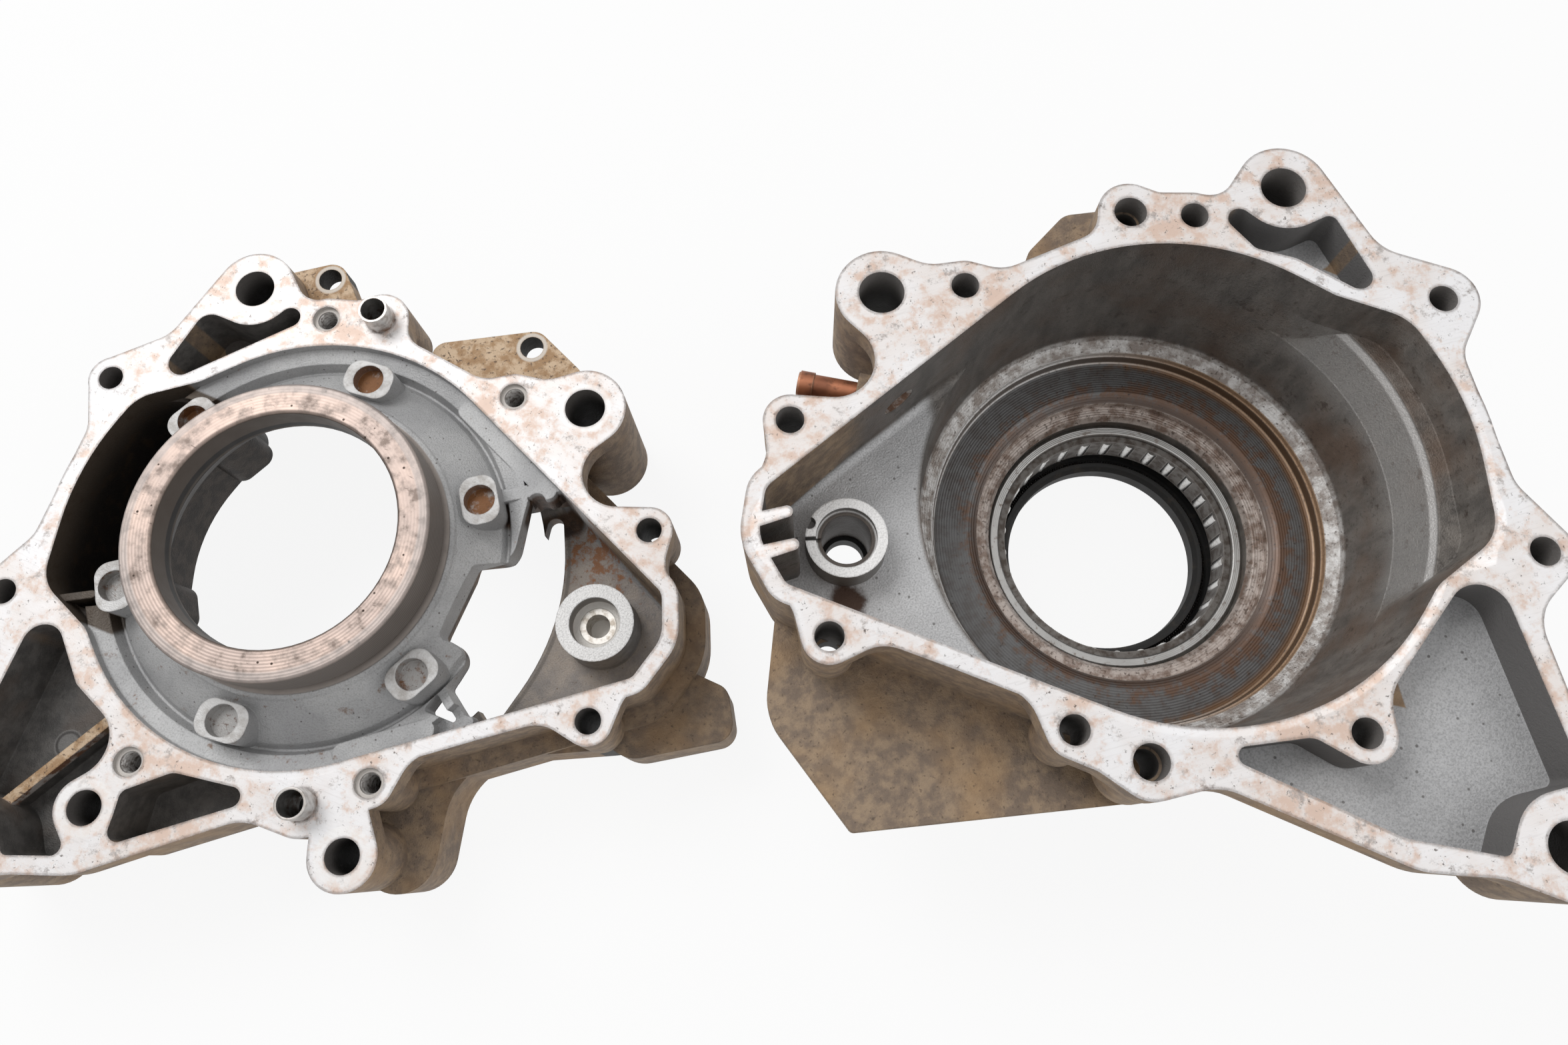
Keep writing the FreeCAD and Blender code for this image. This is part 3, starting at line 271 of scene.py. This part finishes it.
colour = f.mix(tray, dirt, f.mix(level, shade(116, 114, 113), skin))
shaded_side = (f.x * 0.5 - f.y).rising(40.0, -70.0)
colour = f.mix(inside, colour, f.mix(shaded_side * 0.45, varnish, shade(64, 62, 60)))
# The bulge ledge is unvarnished cast skin, lighter than the bowl wall; its wide soft fade from light to dark
# is painted shading standing in for the ledge's rounded edge.
ledge = f.strip((62.0, -30.0, 20.0), (62.0, 18.0, 21.0), 4.0)
ledge = ledge | f.disc((0.0, 0.0, 84.0), 3.0) & f.y.within(-46.0, 40.0, 8.0)
ledge = ledge & f.x.rising(34.0, 50.0) & f.z.rising(-41.0, -29.0) & f.z.rising(-17.1, -17.7)
ledge_colour = f.mix(sand.rising(0.35, 0.75) * 0.5, shade(178, 176, 174), shade(132, 130, 128))
ledge_colour = f.mix((patchy + fine * 0.4).rising(0.78, 0.9) * 0.5, ledge_colour, shade(120, 108, 98))
colour = f.mix(ledge * 0.75, colour, ledge_colour)
# A painted highlight: a thin bright line along the fillet where the ledge meets the bulge wall.
foot = bulge & f.z.within(-19.6, -17.6, 0.5) & f.facing_up.rising(0.1, 0.4)
colour = f.mix(foot * 0.5, colour, shade(220, 218, 216))
vent = f.distance(-70.5, 49.6).rising(8.0, 7.4) & f.z.within(-23.0, -11.0, 0.4)
vent = vent & (f.x * -0.405 + f.y * 0.914).rising(73.35, 73.6)
colour = f.mix(vent, colour, f.mix(patchy.rising(0.4, 0.6), shade(214, 210, 206), shade(120, 92, 74)))
oil = f.distance(-101.0, -4.0) + (patchy - 0.5) * 9.0
colour = f.mix(floor_mask, colour, skin)
colour = f.mix(floor_mask & oil.rising(8.0, 3.5), colour, shade(66, 45, 32))
boss_mask = boss.rising(13.6, 13.2)
colour = f.mix(boss_mask & f.z.rising(-33.0, -32.0), colour, shade(136, 134, 132))
colour = f.mix(boss_mask & level & f.z.rising(-25.5, -24.0), colour,
               f.mix(sand.rising(0.4, 0.7) * 0.5, shade(240, 239, 238), shade(188, 187, 186)))
colour = f.mix(boss_mask & boss.rising(9.2, 8.6) & f.z.rising(-23.5, -24.0), colour, shade(86, 78, 72))

deep = f.z.rising(-57.0, -59.5) & f.radius.rising(74.0, 73.0)
cone = deep & f.radius.within(66.6, 72.6, 0.3)
cone_colour = f.mix(patchy.rising(0.35, 0.62), shade(218, 216, 214), shade(150, 140, 133))
cone_colour = f.mix(fine.rising(0.56, 0.70) * 0.85, cone_colour, shade(84, 72, 64))
# A dark brown band at the cone's outer edge is painted shade in the corner where the cone meets the bowl
# wall.
cone_colour = f.mix(f.radius.within(71.2, 73.0, 0.3) * 0.7, cone_colour, shade(64, 50, 40))
colour = f.mix(cone, colour, cone_colour)
toward_right = (f.x + f.y * -0.2).rising(-20.0, 40.0)
# The turned lip is painted white on its left side as a painted highlight, and turns tan towards the right
# where the steel is discoloured.
lip = deep & f.radius.within(64.9, 66.6, 0.15)
lip_colour = f.mix(toward_right, shade(222, 220, 218), shade(176, 146, 118))
lip_colour = f.mix(f.radius.within(65.4, 65.8, 0.1) * 0.8, lip_colour, shade(78, 60, 46))
colour = f.mix(lip, colour, f.mix(fine.rising(0.5, 0.7) * 0.5, lip_colour, shade(104, 82, 66)))
turned = (f.radius * 7.0 + patchy * 2.0).wave()
annulus = deep & f.radius.within(50.2, 64.9, 0.2) & f.z.rising(-62.0, -64.0)
annulus_colour = f.mix(turned * 0.15 + 0.3, shade(96, 96, 97), shade(128, 126, 124))
annulus_colour = f.mix(patchy.rising(0.4, 0.62) * 0.6, annulus_colour, shade(84, 78, 74))
uneven = (patchy - 0.5) * 3.4 + (fine - 0.5) * 1.6
rust = (f.radius * -0.12 + 7.3 + uneven + toward_right * 0.5).rising(0.5, 1.4)
annulus_colour = f.mix(rust * 0.85, annulus_colour, shade(112, 82, 62))
rim_rust = f.radius.rising(61.5, 64.5) & (toward_right * 0.5 + patchy).rising(0.6, 0.95)
annulus_colour = f.mix(rim_rust, annulus_colour, shade(122, 92, 66))
annulus_colour = f.mix(f.radius.rising(53.5, 51.0) * 0.8, annulus_colour, shade(74, 60, 52))
annulus_colour = f.mix(fine.rising(0.60, 0.72) * 0.8, annulus_colour, shade(46, 42, 40))
colour = f.mix(annulus, colour, annulus_colour)
land = deep & f.radius.rising(50.4, 50.0) & f.z.rising(-76.0, -75.0)
land_colour = f.mix(patchy.rising(0.4, 0.62), shade(200, 188, 180), shade(138, 118, 106))
land_colour = f.mix(fine.rising(0.55, 0.66) * 0.8, land_colour, shade(92, 76, 66))
colour = f.mix(land, colour, land_colour)
holes = f.nearest(right_holes)
# The walls of the bolt holes are painted darker towards their bottom: painted shade inside the holes.
bores = holes.rising(7.4, 7.2) & ~level & ~inside
colour = f.mix(bores, colour, f.mix(f.z.rising(-14.0, -3.0), shade(52, 48, 44), shade(128, 124, 121)))
colour = f.mix(face_mask, colour, face)

smooth = face_mask | (deep & f.radius.rising(66.0, 65.6))
roughness = 0.72 - inside * 0.26 + floor_mask * 0.12 - smooth * 0.1 + (patchy - 0.5) * 0.2
metallic = face_mask * 0.35 + inside * 0.25 + floor_mask * 0.1
coarse = patchy * 1.2 + fine * 0.7
height = sand * 0.55 + coarse * 0.6
height = height * (1.0 - smooth * 0.88) + turned * deep * 0.06
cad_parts["right_case"].data.materials[0] = f.done(colour, roughness, metallic, height, 0.35, 0.7)

# Left casting. The same aluminium, but its dish and hub stay satin grey as cast; only the hub ring,
# the boss and the mating face are machined, and rust from the dowels and dimples has run over it.

left_centre, left_turn = (-268.4, 67.0, 54.0), math.radians(-36.8)
f = Finish("cast aluminium, left casting", left_centre, left_turn, mirrored=True)
face, skin, varnish, dirt, (broad, patchy, fine, sand) = cast_skins(f)
level = f.facing_up.rising(0.85, 0.97)
left_face = level & f.z.within(-0.25, 0.25, 0.1) & f.radius.rising(72.5, 73.0)
inside = f.strip((0.0, 0.0, 75.8), (-111.0, 13.5, 14.7))
pocket = f.strip((65.0, -32.0, 16.5), (66.0, 18.3, 18.6)) | f.disc((0.0, 0.0, 87.0))
pocket = pocket & f.x.rising(46.0, 48.0) & f.y.within(-49.5, 37.0, 0.5) & f.radius.rising(61.6, 62.0)
tray = f.strip((56.0, -62.0, 15.5), (53.5, -106.0, 17.5)) | f.strip((28.0, -96.0, 19.5), (44.0, -114.0, 9.0))
tray = tray | f.strip((20.0, -92.0, 14.0), (-14.2, -80.5, 5.0))
tray = tray | f.strip((46.0, 71.0, 6.2), (70.0, 62.0, 6.6)) | f.strip((54.0, 62.0, 8.0), (71.5, 47.0, 7.0))
tray = tray & ~inside & ~pocket & f.z.rising(-21.6, -21.2)

soot = f.mix(patchy.rising(0.35, 0.65), shade(84, 82, 80), shade(110, 107, 104))
soot = f.mix(broad.rising(0.5, 0.7) * 0.6, soot, shade(94, 80, 70))
ejector = f.distance(52.8, -88.1)
soot = f.mix(ejector.rising(5.2, 4.6) * 0.5, soot, shade(150, 148, 146))
soot = f.mix(ejector.within(3.5, 4.4, 0.3) * 0.8, soot, shade(52, 48, 46))
rib_top = f.strip((37.3, -72.8, 2.2), (56.8, -111.0, 2.2)) & f.z.within(-15.5, -11.5, 0.5)
soot = f.mix(rib_top, soot, f.mix(patchy.rising(0.42, 0.58), shade(214, 206, 200), shade(140, 100, 76)))
colour = f.mix(tray, f.mix(0.1, dirt, shade(70, 58, 46)), soot)
plate = f.z.within(-12.4, -11.6, 0.2) & level & ~inside & ~pocket
colour = f.mix(plate, colour, f.mix(patchy.rising(0.4, 0.6), shade(214, 188, 158), shade(172, 138, 102)))
colour = f.mix(plate & fine.rising(0.55, 0.68), colour, shade(104, 84, 66))
cast = f.mix(broad.rising(0.35, 0.65), shade(166, 166, 167), shade(188, 188, 188))
cast = f.mix(sand.rising(0.4, 0.8) * 0.5, cast, shade(126, 125, 124))
cast = f.mix(f.pits(3.4, 0.12, 6.0) * 0.75, cast, shade(74, 67, 62))
low_side = f.y.rising(10.0, -45.0)
cast = f.mix((patchy + low_side * 0.06 + fine * 0.2).rising(0.76, 0.88) * 0.8, cast, shade(122, 94, 74))
colour = f.mix(inside & f.z.rising(-34.0, -32.0), colour, cast)
narrow = inside & f.x.rising(-52.0, -56.0)
rusty = narrow & (patchy + fine * 0.3 - f.distance(-84.0, 36.0) * 0.011).rising(0.52, 0.66)
colour = f.mix(rusty * 0.85, colour, shade(150, 98, 56))
clearance = narrow & f.radius.within(81.2, 82.4, 0.25) & f.z.rising(-32.0, -32.4)
colour = f.mix(clearance * 0.6, colour, shade(112, 106, 100))
dark_step = inside & f.strip((-70.5, 46.0, 5.0), (-58.0, 36.0, 5.0), 1.5) & f.z.rising(-4.5, -7.5)
colour = f.mix(dark_step, colour, f.mix(patchy.rising(0.4, 0.6), shade(88, 66, 50), shade(52, 40, 32)))
lip = narrow & f.radius.rising(68.0, 64.0) & f.z.rising(-8.2, -9.5)
colour = f.mix(lip, colour, f.mix(patchy.rising(0.4, 0.6), shade(112, 90, 70), shade(66, 52, 42)))
# Painted shade: everything under the dish round the hub, and the inside below the floor, is painted dark
# brown.
painted_shade_below = inside & f.z.rising(-38.5, -40.0) | f.radius.rising(74.0, 73.0) & f.z.rising(-13.4, -14.2)
colour = f.mix(painted_shade_below, colour, f.mix(patchy.rising(0.4, 0.6), shade(60, 51, 44), shade(40, 34, 30)))
shadowed = f.mix(f.z.rising(-16.0, -1.0), shade(26, 22, 18), shade(78, 68, 58))
shadowed = f.mix(patchy.rising(0.5, 0.68) * 0.6, shadowed, shade(58, 44, 30))
colour = f.mix(pocket & ~left_face, colour, shadowed)

pads = [(60.5 * math.cos(math.radians(25.0 + 60.0 * k)), 60.5 * math.sin(math.radians(25.0 + 60.0 * k)))
        for k in range(6)]
pad = f.nearest(pads)
pad_top = level & f.z.within(3.9, 5.1, 0.2) & f.radius.rising(52.5, 53.0)
colour = f.mix(pad_top, colour, f.mix(patchy.rising(0.4, 0.7), shade(204, 203, 202), shade(170, 166, 162)))
dimple = pad.rising(5.4, 5.1) & f.z.within(-0.2, 4.35, 0.05)
dimple_colour = f.mix((patchy + f.y * 0.0025).rising(0.42, 0.62), shade(176, 174, 172), shade(126, 84, 48))
dimple_colour = f.mix(fine.rising(0.55, 0.7) * 0.7, dimple_colour, shade(92, 56, 30))
colour = f.mix(dimple, colour, dimple_colour)

turned = (f.radius * 6.0 + patchy * 1.6).wave()
hub = f.radius.rising(50.4, 49.8)
neck = hub & f.z.rising(0.0, 1.5)
neck_colour = f.mix(f.z.within(5.2, 7.4, 0.4), shade(138, 130, 124), shade(48, 42, 38))
neck_colour = f.mix((f.z * 5.0 + patchy * 3.0).wave() * 0.25 + 0.25, neck_colour, shade(92, 84, 78))
colour = f.mix(neck, colour, neck_colour)
# The hub's bore is painted dark, darkest towards the bottom, as painted shade inside it; two narrow bands
# are painted darker still.
bore = f.radius.rising(46.8, 46.2) | f.radius.rising(54.0, 53.4) & f.z.rising(0.2, -0.4)
bore_shade_colour = f.mix(f.z.rising(-6.0, 16.0), shade(40, 34, 30), shade(76, 66, 58))
bore_shade_colour = f.mix(f.z.within(11.0, 13.5, 0.3) | f.z.within(3.0, 4.4, 0.3), bore_shade_colour, shade(24, 20, 18))
colour = f.mix(bore & ~level, colour, bore_shade_colour)
ring_top = hub & f.z.rising(21.0, 21.5)
ring_colour = f.mix(broad.rising(0.35, 0.6), shade(190, 170, 159), shade(172, 156, 148))
ring_colour = f.mix(turned * 0.12 + 0.14, ring_colour, shade(160, 144, 136))
ring_colour = f.mix(patchy.rising(0.42, 0.64) * 0.8, ring_colour, shade(138, 126, 119))
ring_colour = f.mix((patchy + broad * 0.4).rising(0.76, 0.88) * 0.7, ring_colour, shade(112, 98, 90))
scratch = f.grain(2.2, 4.0, 0.75, stretch=(0.3, 1.6, 1.0), shift=31.0)
ring_colour = f.mix(scratch.rising(0.64, 0.70) * 0.7, ring_colour, shade(92, 80, 74))
ring_colour = f.mix(f.pits(5.0, 0.11, 12.0), ring_colour, shade(60, 50, 44))
ring_colour = f.mix(f.radius.rising(45.4, 46.2) * 0.6, ring_colour, shade(150, 144, 141))
rim_dark = f.radius.rising(48.4, 49.2) | f.radius.rising(39.8, 39.0)
colour = f.mix(ring_top, colour, f.mix(rim_dark * 0.6, ring_colour, shade(96, 84, 76)))

boss = f.distance(*selector)
boss_mask = boss.rising(14.4, 13.8) & inside
boss_side = f.mix(patchy.rising(0.4, 0.6), shade(150, 149, 148), shade(174, 173, 172))
colour = f.mix(boss_mask & f.z.rising(-32.0, -31.0), colour, boss_side)
boss_top = f.mix(sand.rising(0.4, 0.7) * 0.6, shade(234, 233, 232), shade(184, 183, 182))
colour = f.mix(boss_mask & level & f.z.rising(-17.0, -16.4), colour, boss_top)
colour = f.mix(boss.rising(9.0, 8.8) & f.z.rising(-17.0, -17.6), colour, shade(140, 136, 132))
colour = f.mix(boss.rising(9.0, 8.8) & f.z.rising(-22.4, -22.8), colour, shade(226, 222, 216))

web_holes = [(46.5, 95.5), (-35.5, 97.0)]
holes = f.nearest(right_holes + [(-58.5, -83.5), (24.0, -100.0)] + web_holes)
# The walls of the bolt and web holes are painted darker towards their bottom: painted shade inside the
# holes.
bores = holes.rising(7.4, 7.2) & ~level
colour = f.mix(bores, colour, f.mix(f.z.rising(-12.0, -2.0), shade(38, 35, 32), shade(104, 100, 97)))
webs = f.nearest(web_holes)
colour = f.mix(webs.within(4.2, 5.6, 0.4) & level, colour, shade(222, 212, 200))
tapped_holes = [(-42.5, 73.7), (32.7, 77.0), (-56.0, -60.9), (18.4, -82.7)]
tapped = f.nearest(tapped_holes)
colour = f.mix(tapped.rising(4.9, 4.7) & f.z.rising(-17.0, -16.0), colour, shade(150, 146, 142))
colour = f.mix(tapped.within(3.45, 4.7, 0.1) & f.z.within(-1.7, -0.15, 0.1), colour, shade(214, 208, 202))
lands = f.nearest([(-58.5, -83.5), (24.0, -100.0), (57.5, -124.0), (62.5, 78.5), (-67.5, 78.5)])
ring_land = lands.within(6.0, 9.0, 0.5)
colour = f.mix(left_face, colour, f.mix(ring_land * 0.5, face, shade(240, 238, 236)))

smooth = left_face | ring_top | neck
roughness = 0.66 + (patchy - 0.5) * 0.2 - smooth * 0.14 - (pocket | tray) * 0.08
roughness = roughness - (inside & ~smooth) * 0.1
metallic = (left_face | ring_top) * 0.3 + neck * 0.5 + (inside & ~smooth) * 0.28
height = sand * 0.55 + (patchy * 1.2 + fine * 0.7) * (0.6 - inside * 0.42)
height = height * (1.0 - smooth * 0.88) + turned * ring_top * 0.05
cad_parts["left_case"].data.materials[0] = f.done(colour, roughness, metallic, height, 0.35, 0.7)

# Threads of the left casting's tapped holes. Each is one wound ridge just inside the hole's wall.

thread_pitch, thread_top, thread_length = 1.25, -1.5, 15.0
root_radius, crest_radius = 3.42, 3.02
ridge = ((root_radius, 0.0), (crest_radius, -0.52), (crest_radius, -0.68), (root_radius, -1.2))
steps = 28
turns = int(thread_length / thread_pitch)
mesh = bmesh.new()
for x, y in tapped_holes:
    across = left_centre[0] - x * math.cos(left_turn) - y * math.sin(left_turn)
    along = left_centre[1] - x * math.sin(left_turn) + y * math.cos(left_turn)
    before = None
    for i in range(turns * steps + 1):
        angle = 2 * math.pi * i / steps
        level = left_centre[2] + thread_top - thread_pitch * i / steps
        ring = []
        for reach, rise in ridge:
            place = Vector((across + reach * math.cos(angle), along + reach * math.sin(angle), level + rise))
            ring.append(mesh.verts.new(place / 1000))
        if before:
            for k in range(len(ridge)):
                after = (k + 1) % len(ridge)
                mesh.faces.new((before[k], before[after], ring[after], ring[k]))
        else:
            mesh.faces.new(ring)
        before = ring
    mesh.faces.new(before[::-1])
bmesh.ops.recalc_face_normals(mesh, faces=mesh.faces)
threads = bpy.data.meshes.new("bolt_threads")
mesh.to_mesh(threads)
mesh.free()
cut_threads = bpy.data.objects.new("bolt_threads", threads)
bpy.context.scene.collection.objects.link(cut_threads)
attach(cut_threads, "housing")
f = Finish("cut aluminium thread")
haze = f.grain(1.5, 3.0, 0.6)
colour = f.mix(haze.rising(0.4, 0.7), shade(206, 204, 202), shade(120, 112, 106))
threads.materials.append(f.done(colour, 0.35 + haze * 0.2, 0.6, haze, 0.03))

# Needle bearing. A drawn steel cup pressed into the hub, its lip polished by handling; the pierced
# cage is darker with dried oil, and the ground rollers are the brightest steel in the object.

f = Finish("drawn steel cup")
haze = f.grain(8.0, 4.0, 0.6)
brown = f.grain(2.4, 4.0, 0.6, shift=4.0).rising(0.56, 0.7)
colour = f.mix(haze, shade(186, 185, 183), shade(150, 148, 145))
colour = f.mix(brown * 0.55, colour, shade(104, 84, 68))
marks = (f.radius * 11.0).wave()
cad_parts["needle_bearing_cup"].data.materials[0] = f.done(
    colour, 0.26 + haze * 0.14 + brown * 0.2, 0.92, marks * 0.5 + haze, 0.03, 0.4)

f = Finish("oiled cage steel")
oil = f.grain(3.0, 4.0, 0.6)
colour = f.mix(oil.rising(0.4, 0.65), shade(112, 108, 104), shade(78, 70, 64))
colour = f.mix(f.edges(0.8) * 0.6, colour, shade(164, 160, 156))
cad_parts["bearing_cage"].data.materials[0] = f.done(colour, 0.42 + oil * 0.15, 0.75, oil, 0.05, 0.25)

f = Finish("ground roller steel")
oil = f.grain(1.6, 3.0, 0.5)
colour = f.mix(oil.rising(0.5, 0.75) * 0.5, shade(198, 197, 195), shade(128, 118, 108))
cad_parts["needle_rollers"].data.materials[0] = f.done(colour, 0.16 + oil * 0.12, 0.95, oil, 0.01)

# Seals. Moulded black rubber rings, dulled by dust; the axle seal's lip is held by a garter spring
# of coiled wire that lies in its groove.

f = Finish("black seal rubber")
dust = f.grain(4.0, 5.0, 0.65)
ribs = (f.radius * 4.2).wave()
colour = f.mix(dust.rising(0.5, 0.75) * 0.6, shade(26, 25, 24), shade(70, 62, 54))
colour = f.mix(f.edges(0.8) * 0.4, colour, shade(72, 68, 64))
rubber = f.done(colour, 0.5 + dust * 0.25, 0.0, dust + ribs * 0.15, 0.08, 0.3)
for name in ("axle_seal", "selector_shaft_seal"):
    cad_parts[name].data.materials[0] = rubber

coil_turns = 236
wire_steps = 9
path_radius, coil_radius, wire_radius = 0.0375, 0.00072, 0.00018
spring_height = 0.0048
count = coil_turns * wire_steps
points = []
for i in range(count):
    round_seal = 2 * math.pi * i / count
    round_coil = 2 * math.pi * i / wire_steps
    reach = path_radius + coil_radius * math.cos(round_coil)
    points.append(Vector((reach * math.cos(round_seal), reach * math.sin(round_seal),
                          spring_height + coil_radius * math.sin(round_coil))))
wire = bpy.data.curves.new("garter_wire", "CURVE")
wire.dimensions = "3D"
wire.bevel_depth = wire_radius
wire.bevel_resolution = 1
spline = wire.splines.new("POLY")
spline.points.add(count - 1)
for made, point in zip(spline.points, points):
    made.co = (*point, 1.0)
spline.use_cyclic_u = True
wound = bpy.data.objects.new("garter_wire", wire)
bpy.context.scene.collection.objects.link(wound)
coil = bpy.data.meshes.new_from_object(wound.evaluated_get(bpy.context.evaluated_depsgraph_get()))
bpy.data.objects.remove(wound)
spring = bpy.data.objects.new("garter_spring", coil)
bpy.context.scene.collection.objects.link(spring)
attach(spring, "housing")
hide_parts("axle_seal_spring")

f = Finish("spring wire")
oil = f.grain(1.2, 3.0, 0.5)
colour = f.mix(oil.rising(0.45, 0.7), shade(150, 147, 143), shade(88, 76, 66))
coil.materials.append(f.done(colour, 0.3 + oil * 0.2, 0.9, oil, 0.01))

# Dowels and bush. Hollow ground steel dowels driven into the left face, with a little rust at their
# foot, and a turned bearing bush in the blind boss for the end of the selector shaft.

f = Finish("ground dowel steel")
haze = f.grain(2.2, 4.0, 0.6)
lines = f.grain(0.5, 2.0, 0.5, stretch=(0.15, 0.15, 3.0))
colour = f.mix(haze.rising(0.4, 0.7), shade(200, 199, 197), shade(158, 154, 150))
foot = f.z.rising(56.5, 54.2) & haze.rising(0.35, 0.6)
colour = f.mix(foot * 0.7, colour, shade(120, 86, 60))
colour = f.mix(f.facing_up.rising(0.8, 0.95) * 0.4, colour, shade(150, 138, 128))
dowel_steel = f.done(colour, 0.24 + haze * 0.15, 0.9, lines + haze * 0.4, 0.03, 0.5)
for name in ("dowel_upper", "dowel_lower"):
    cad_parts[name].data.materials[0] = dowel_steel

f = Finish("turned bush steel")
haze = f.grain(2.0, 4.0, 0.6)
colour = f.mix(haze.rising(0.4, 0.7), shade(208, 204, 198), shade(160, 150, 138))
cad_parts["selector_shaft_bush"].data.materials[0] = f.done(
    colour, 0.28 + haze * 0.15, 0.85, haze, 0.03, 0.4)

# Breather. A copper-coloured steel pipe pressed into the wall of the right casting, with a rolled
# collar for its hose.

f = Finish("browned breather pipe")
haze = f.grain(3.0, 5.0, 0.65)
tint = f.grain(9.0, 2.0, 0.5, shift=2.0)
colour = f.mix(tint.rising(0.35, 0.65), shade(176, 116, 86), shade(132, 84, 62))
colour = f.mix(haze.rising(0.5, 0.7) * 0.7, colour, shade(88, 58, 44))
colour = f.mix(f.edges(0.7) * 0.6, colour, shade(206, 168, 142))
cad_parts["breather_fitting"].data.materials[0] = f.done(
    colour, 0.34 + haze * 0.2, 0.7, haze, 0.06, 0.35)

# Stage: a pale table top under the open castings, soft light from above, and the camera where the
# photographer held it, looking steeply down at the two halves.

bpy.ops.mesh.primitive_plane_add(size=6.0, location=(0.0, 0.0, -0.0004))
table = bpy.context.object
table.name = "table"


def seen_white(tree, shader, share):
    """The shader, with a share of plain white where the camera or a reflection sees it."""
    path = tree.nodes.new("ShaderNodeLightPath")
    white = tree.nodes.new("ShaderNodeEmission")
    white.inputs["Strength"].default_value = 1.0
    seen = tree.nodes.new("ShaderNodeMath")
    seen.operation = "MAXIMUM"
    tree.links.new(path.outputs["Is Camera Ray"], seen.inputs[0])
    tree.links.new(path.outputs["Is Glossy Ray"], seen.inputs[1])
    part = tree.nodes.new("ShaderNodeMath")
    part.operation = "MULTIPLY"
    part.inputs[1].default_value = share
    tree.links.new(seen.outputs[0], part.inputs[0])
    mixed = tree.nodes.new("ShaderNodeMixShader")
    tree.links.new(part.outputs[0], mixed.inputs[0])
    tree.links.new(shader, mixed.inputs[1])
    tree.links.new(white.outputs[0], mixed.inputs[2])
    return mixed.outputs[0]


paper = bpy.data.materials.new("table top")
paper.use_nodes = True
white_share = 0.9
matt = paper.node_tree.nodes["Principled BSDF"]
matt.inputs["Base Color"].default_value = (0.9, 0.9, 0.9, 1.0)
matt.inputs["Roughness"].default_value = 0.9
surface = paper.node_tree.nodes["Material Output"].inputs["Surface"]
paper.node_tree.links.new(seen_white(paper.node_tree, matt.outputs[0], white_share), surface)
table.data.materials.append(paper)

world = bpy.data.worlds.new("room")
world.use_nodes = True
bpy.context.scene.world = world
world.node_tree.nodes["Background"].inputs["Color"].default_value = (1.0, 1.0, 1.0, 1.0)
world.node_tree.nodes["Background"].inputs["Strength"].default_value = 0.42
sky = seen_white(world.node_tree, world.node_tree.nodes["Background"].outputs[0], 1.0)
world.node_tree.links.new(sky, world.node_tree.nodes["World Output"].inputs["Surface"])

for name, place, target, width, power in (
        ("key", (-0.55, 0.75, 1.1), (-0.13, 0.0, 0.05), 0.7, 8.6),
        ("fill", (0.75, -0.35, 0.9), (-0.13, 0.0, 0.05), 0.7, 2.6)):
    lamp = bpy.data.lights.new(name, "AREA")
    lamp.size = width
    lamp.energy = power
    hung = bpy.data.objects.new(name, lamp)
    hung.location = place
    hung.rotation_mode = "QUATERNION"
    hung.rotation_quaternion = (Vector(target) - Vector(place)).to_track_quat("-Z", "Y")
    bpy.context.scene.collection.objects.link(hung)

forward = Vector((0.0585, 0.2820, -0.9576)).normalized()
sideways = forward.cross(Vector((0.262, 0.921, 0.287))).normalized()
upward = sideways.cross(forward)
lens = bpy.data.cameras.new("camera")
lens.sensor_width = 36.0
lens.lens = 25.33
lens.clip_start = 0.01
lens.clip_end = 50.0
camera = bpy.data.objects.new("camera", lens)
camera.matrix_world = Matrix.Translation((-0.1339, -0.0722, 0.4048)) @ Matrix(
    (sideways, upward, -forward)).transposed().to_4x4()
bpy.context.scene.collection.objects.link(camera)
bpy.context.scene.camera = camera
bpy.context.scene.view_settings.view_transform = "Standard"
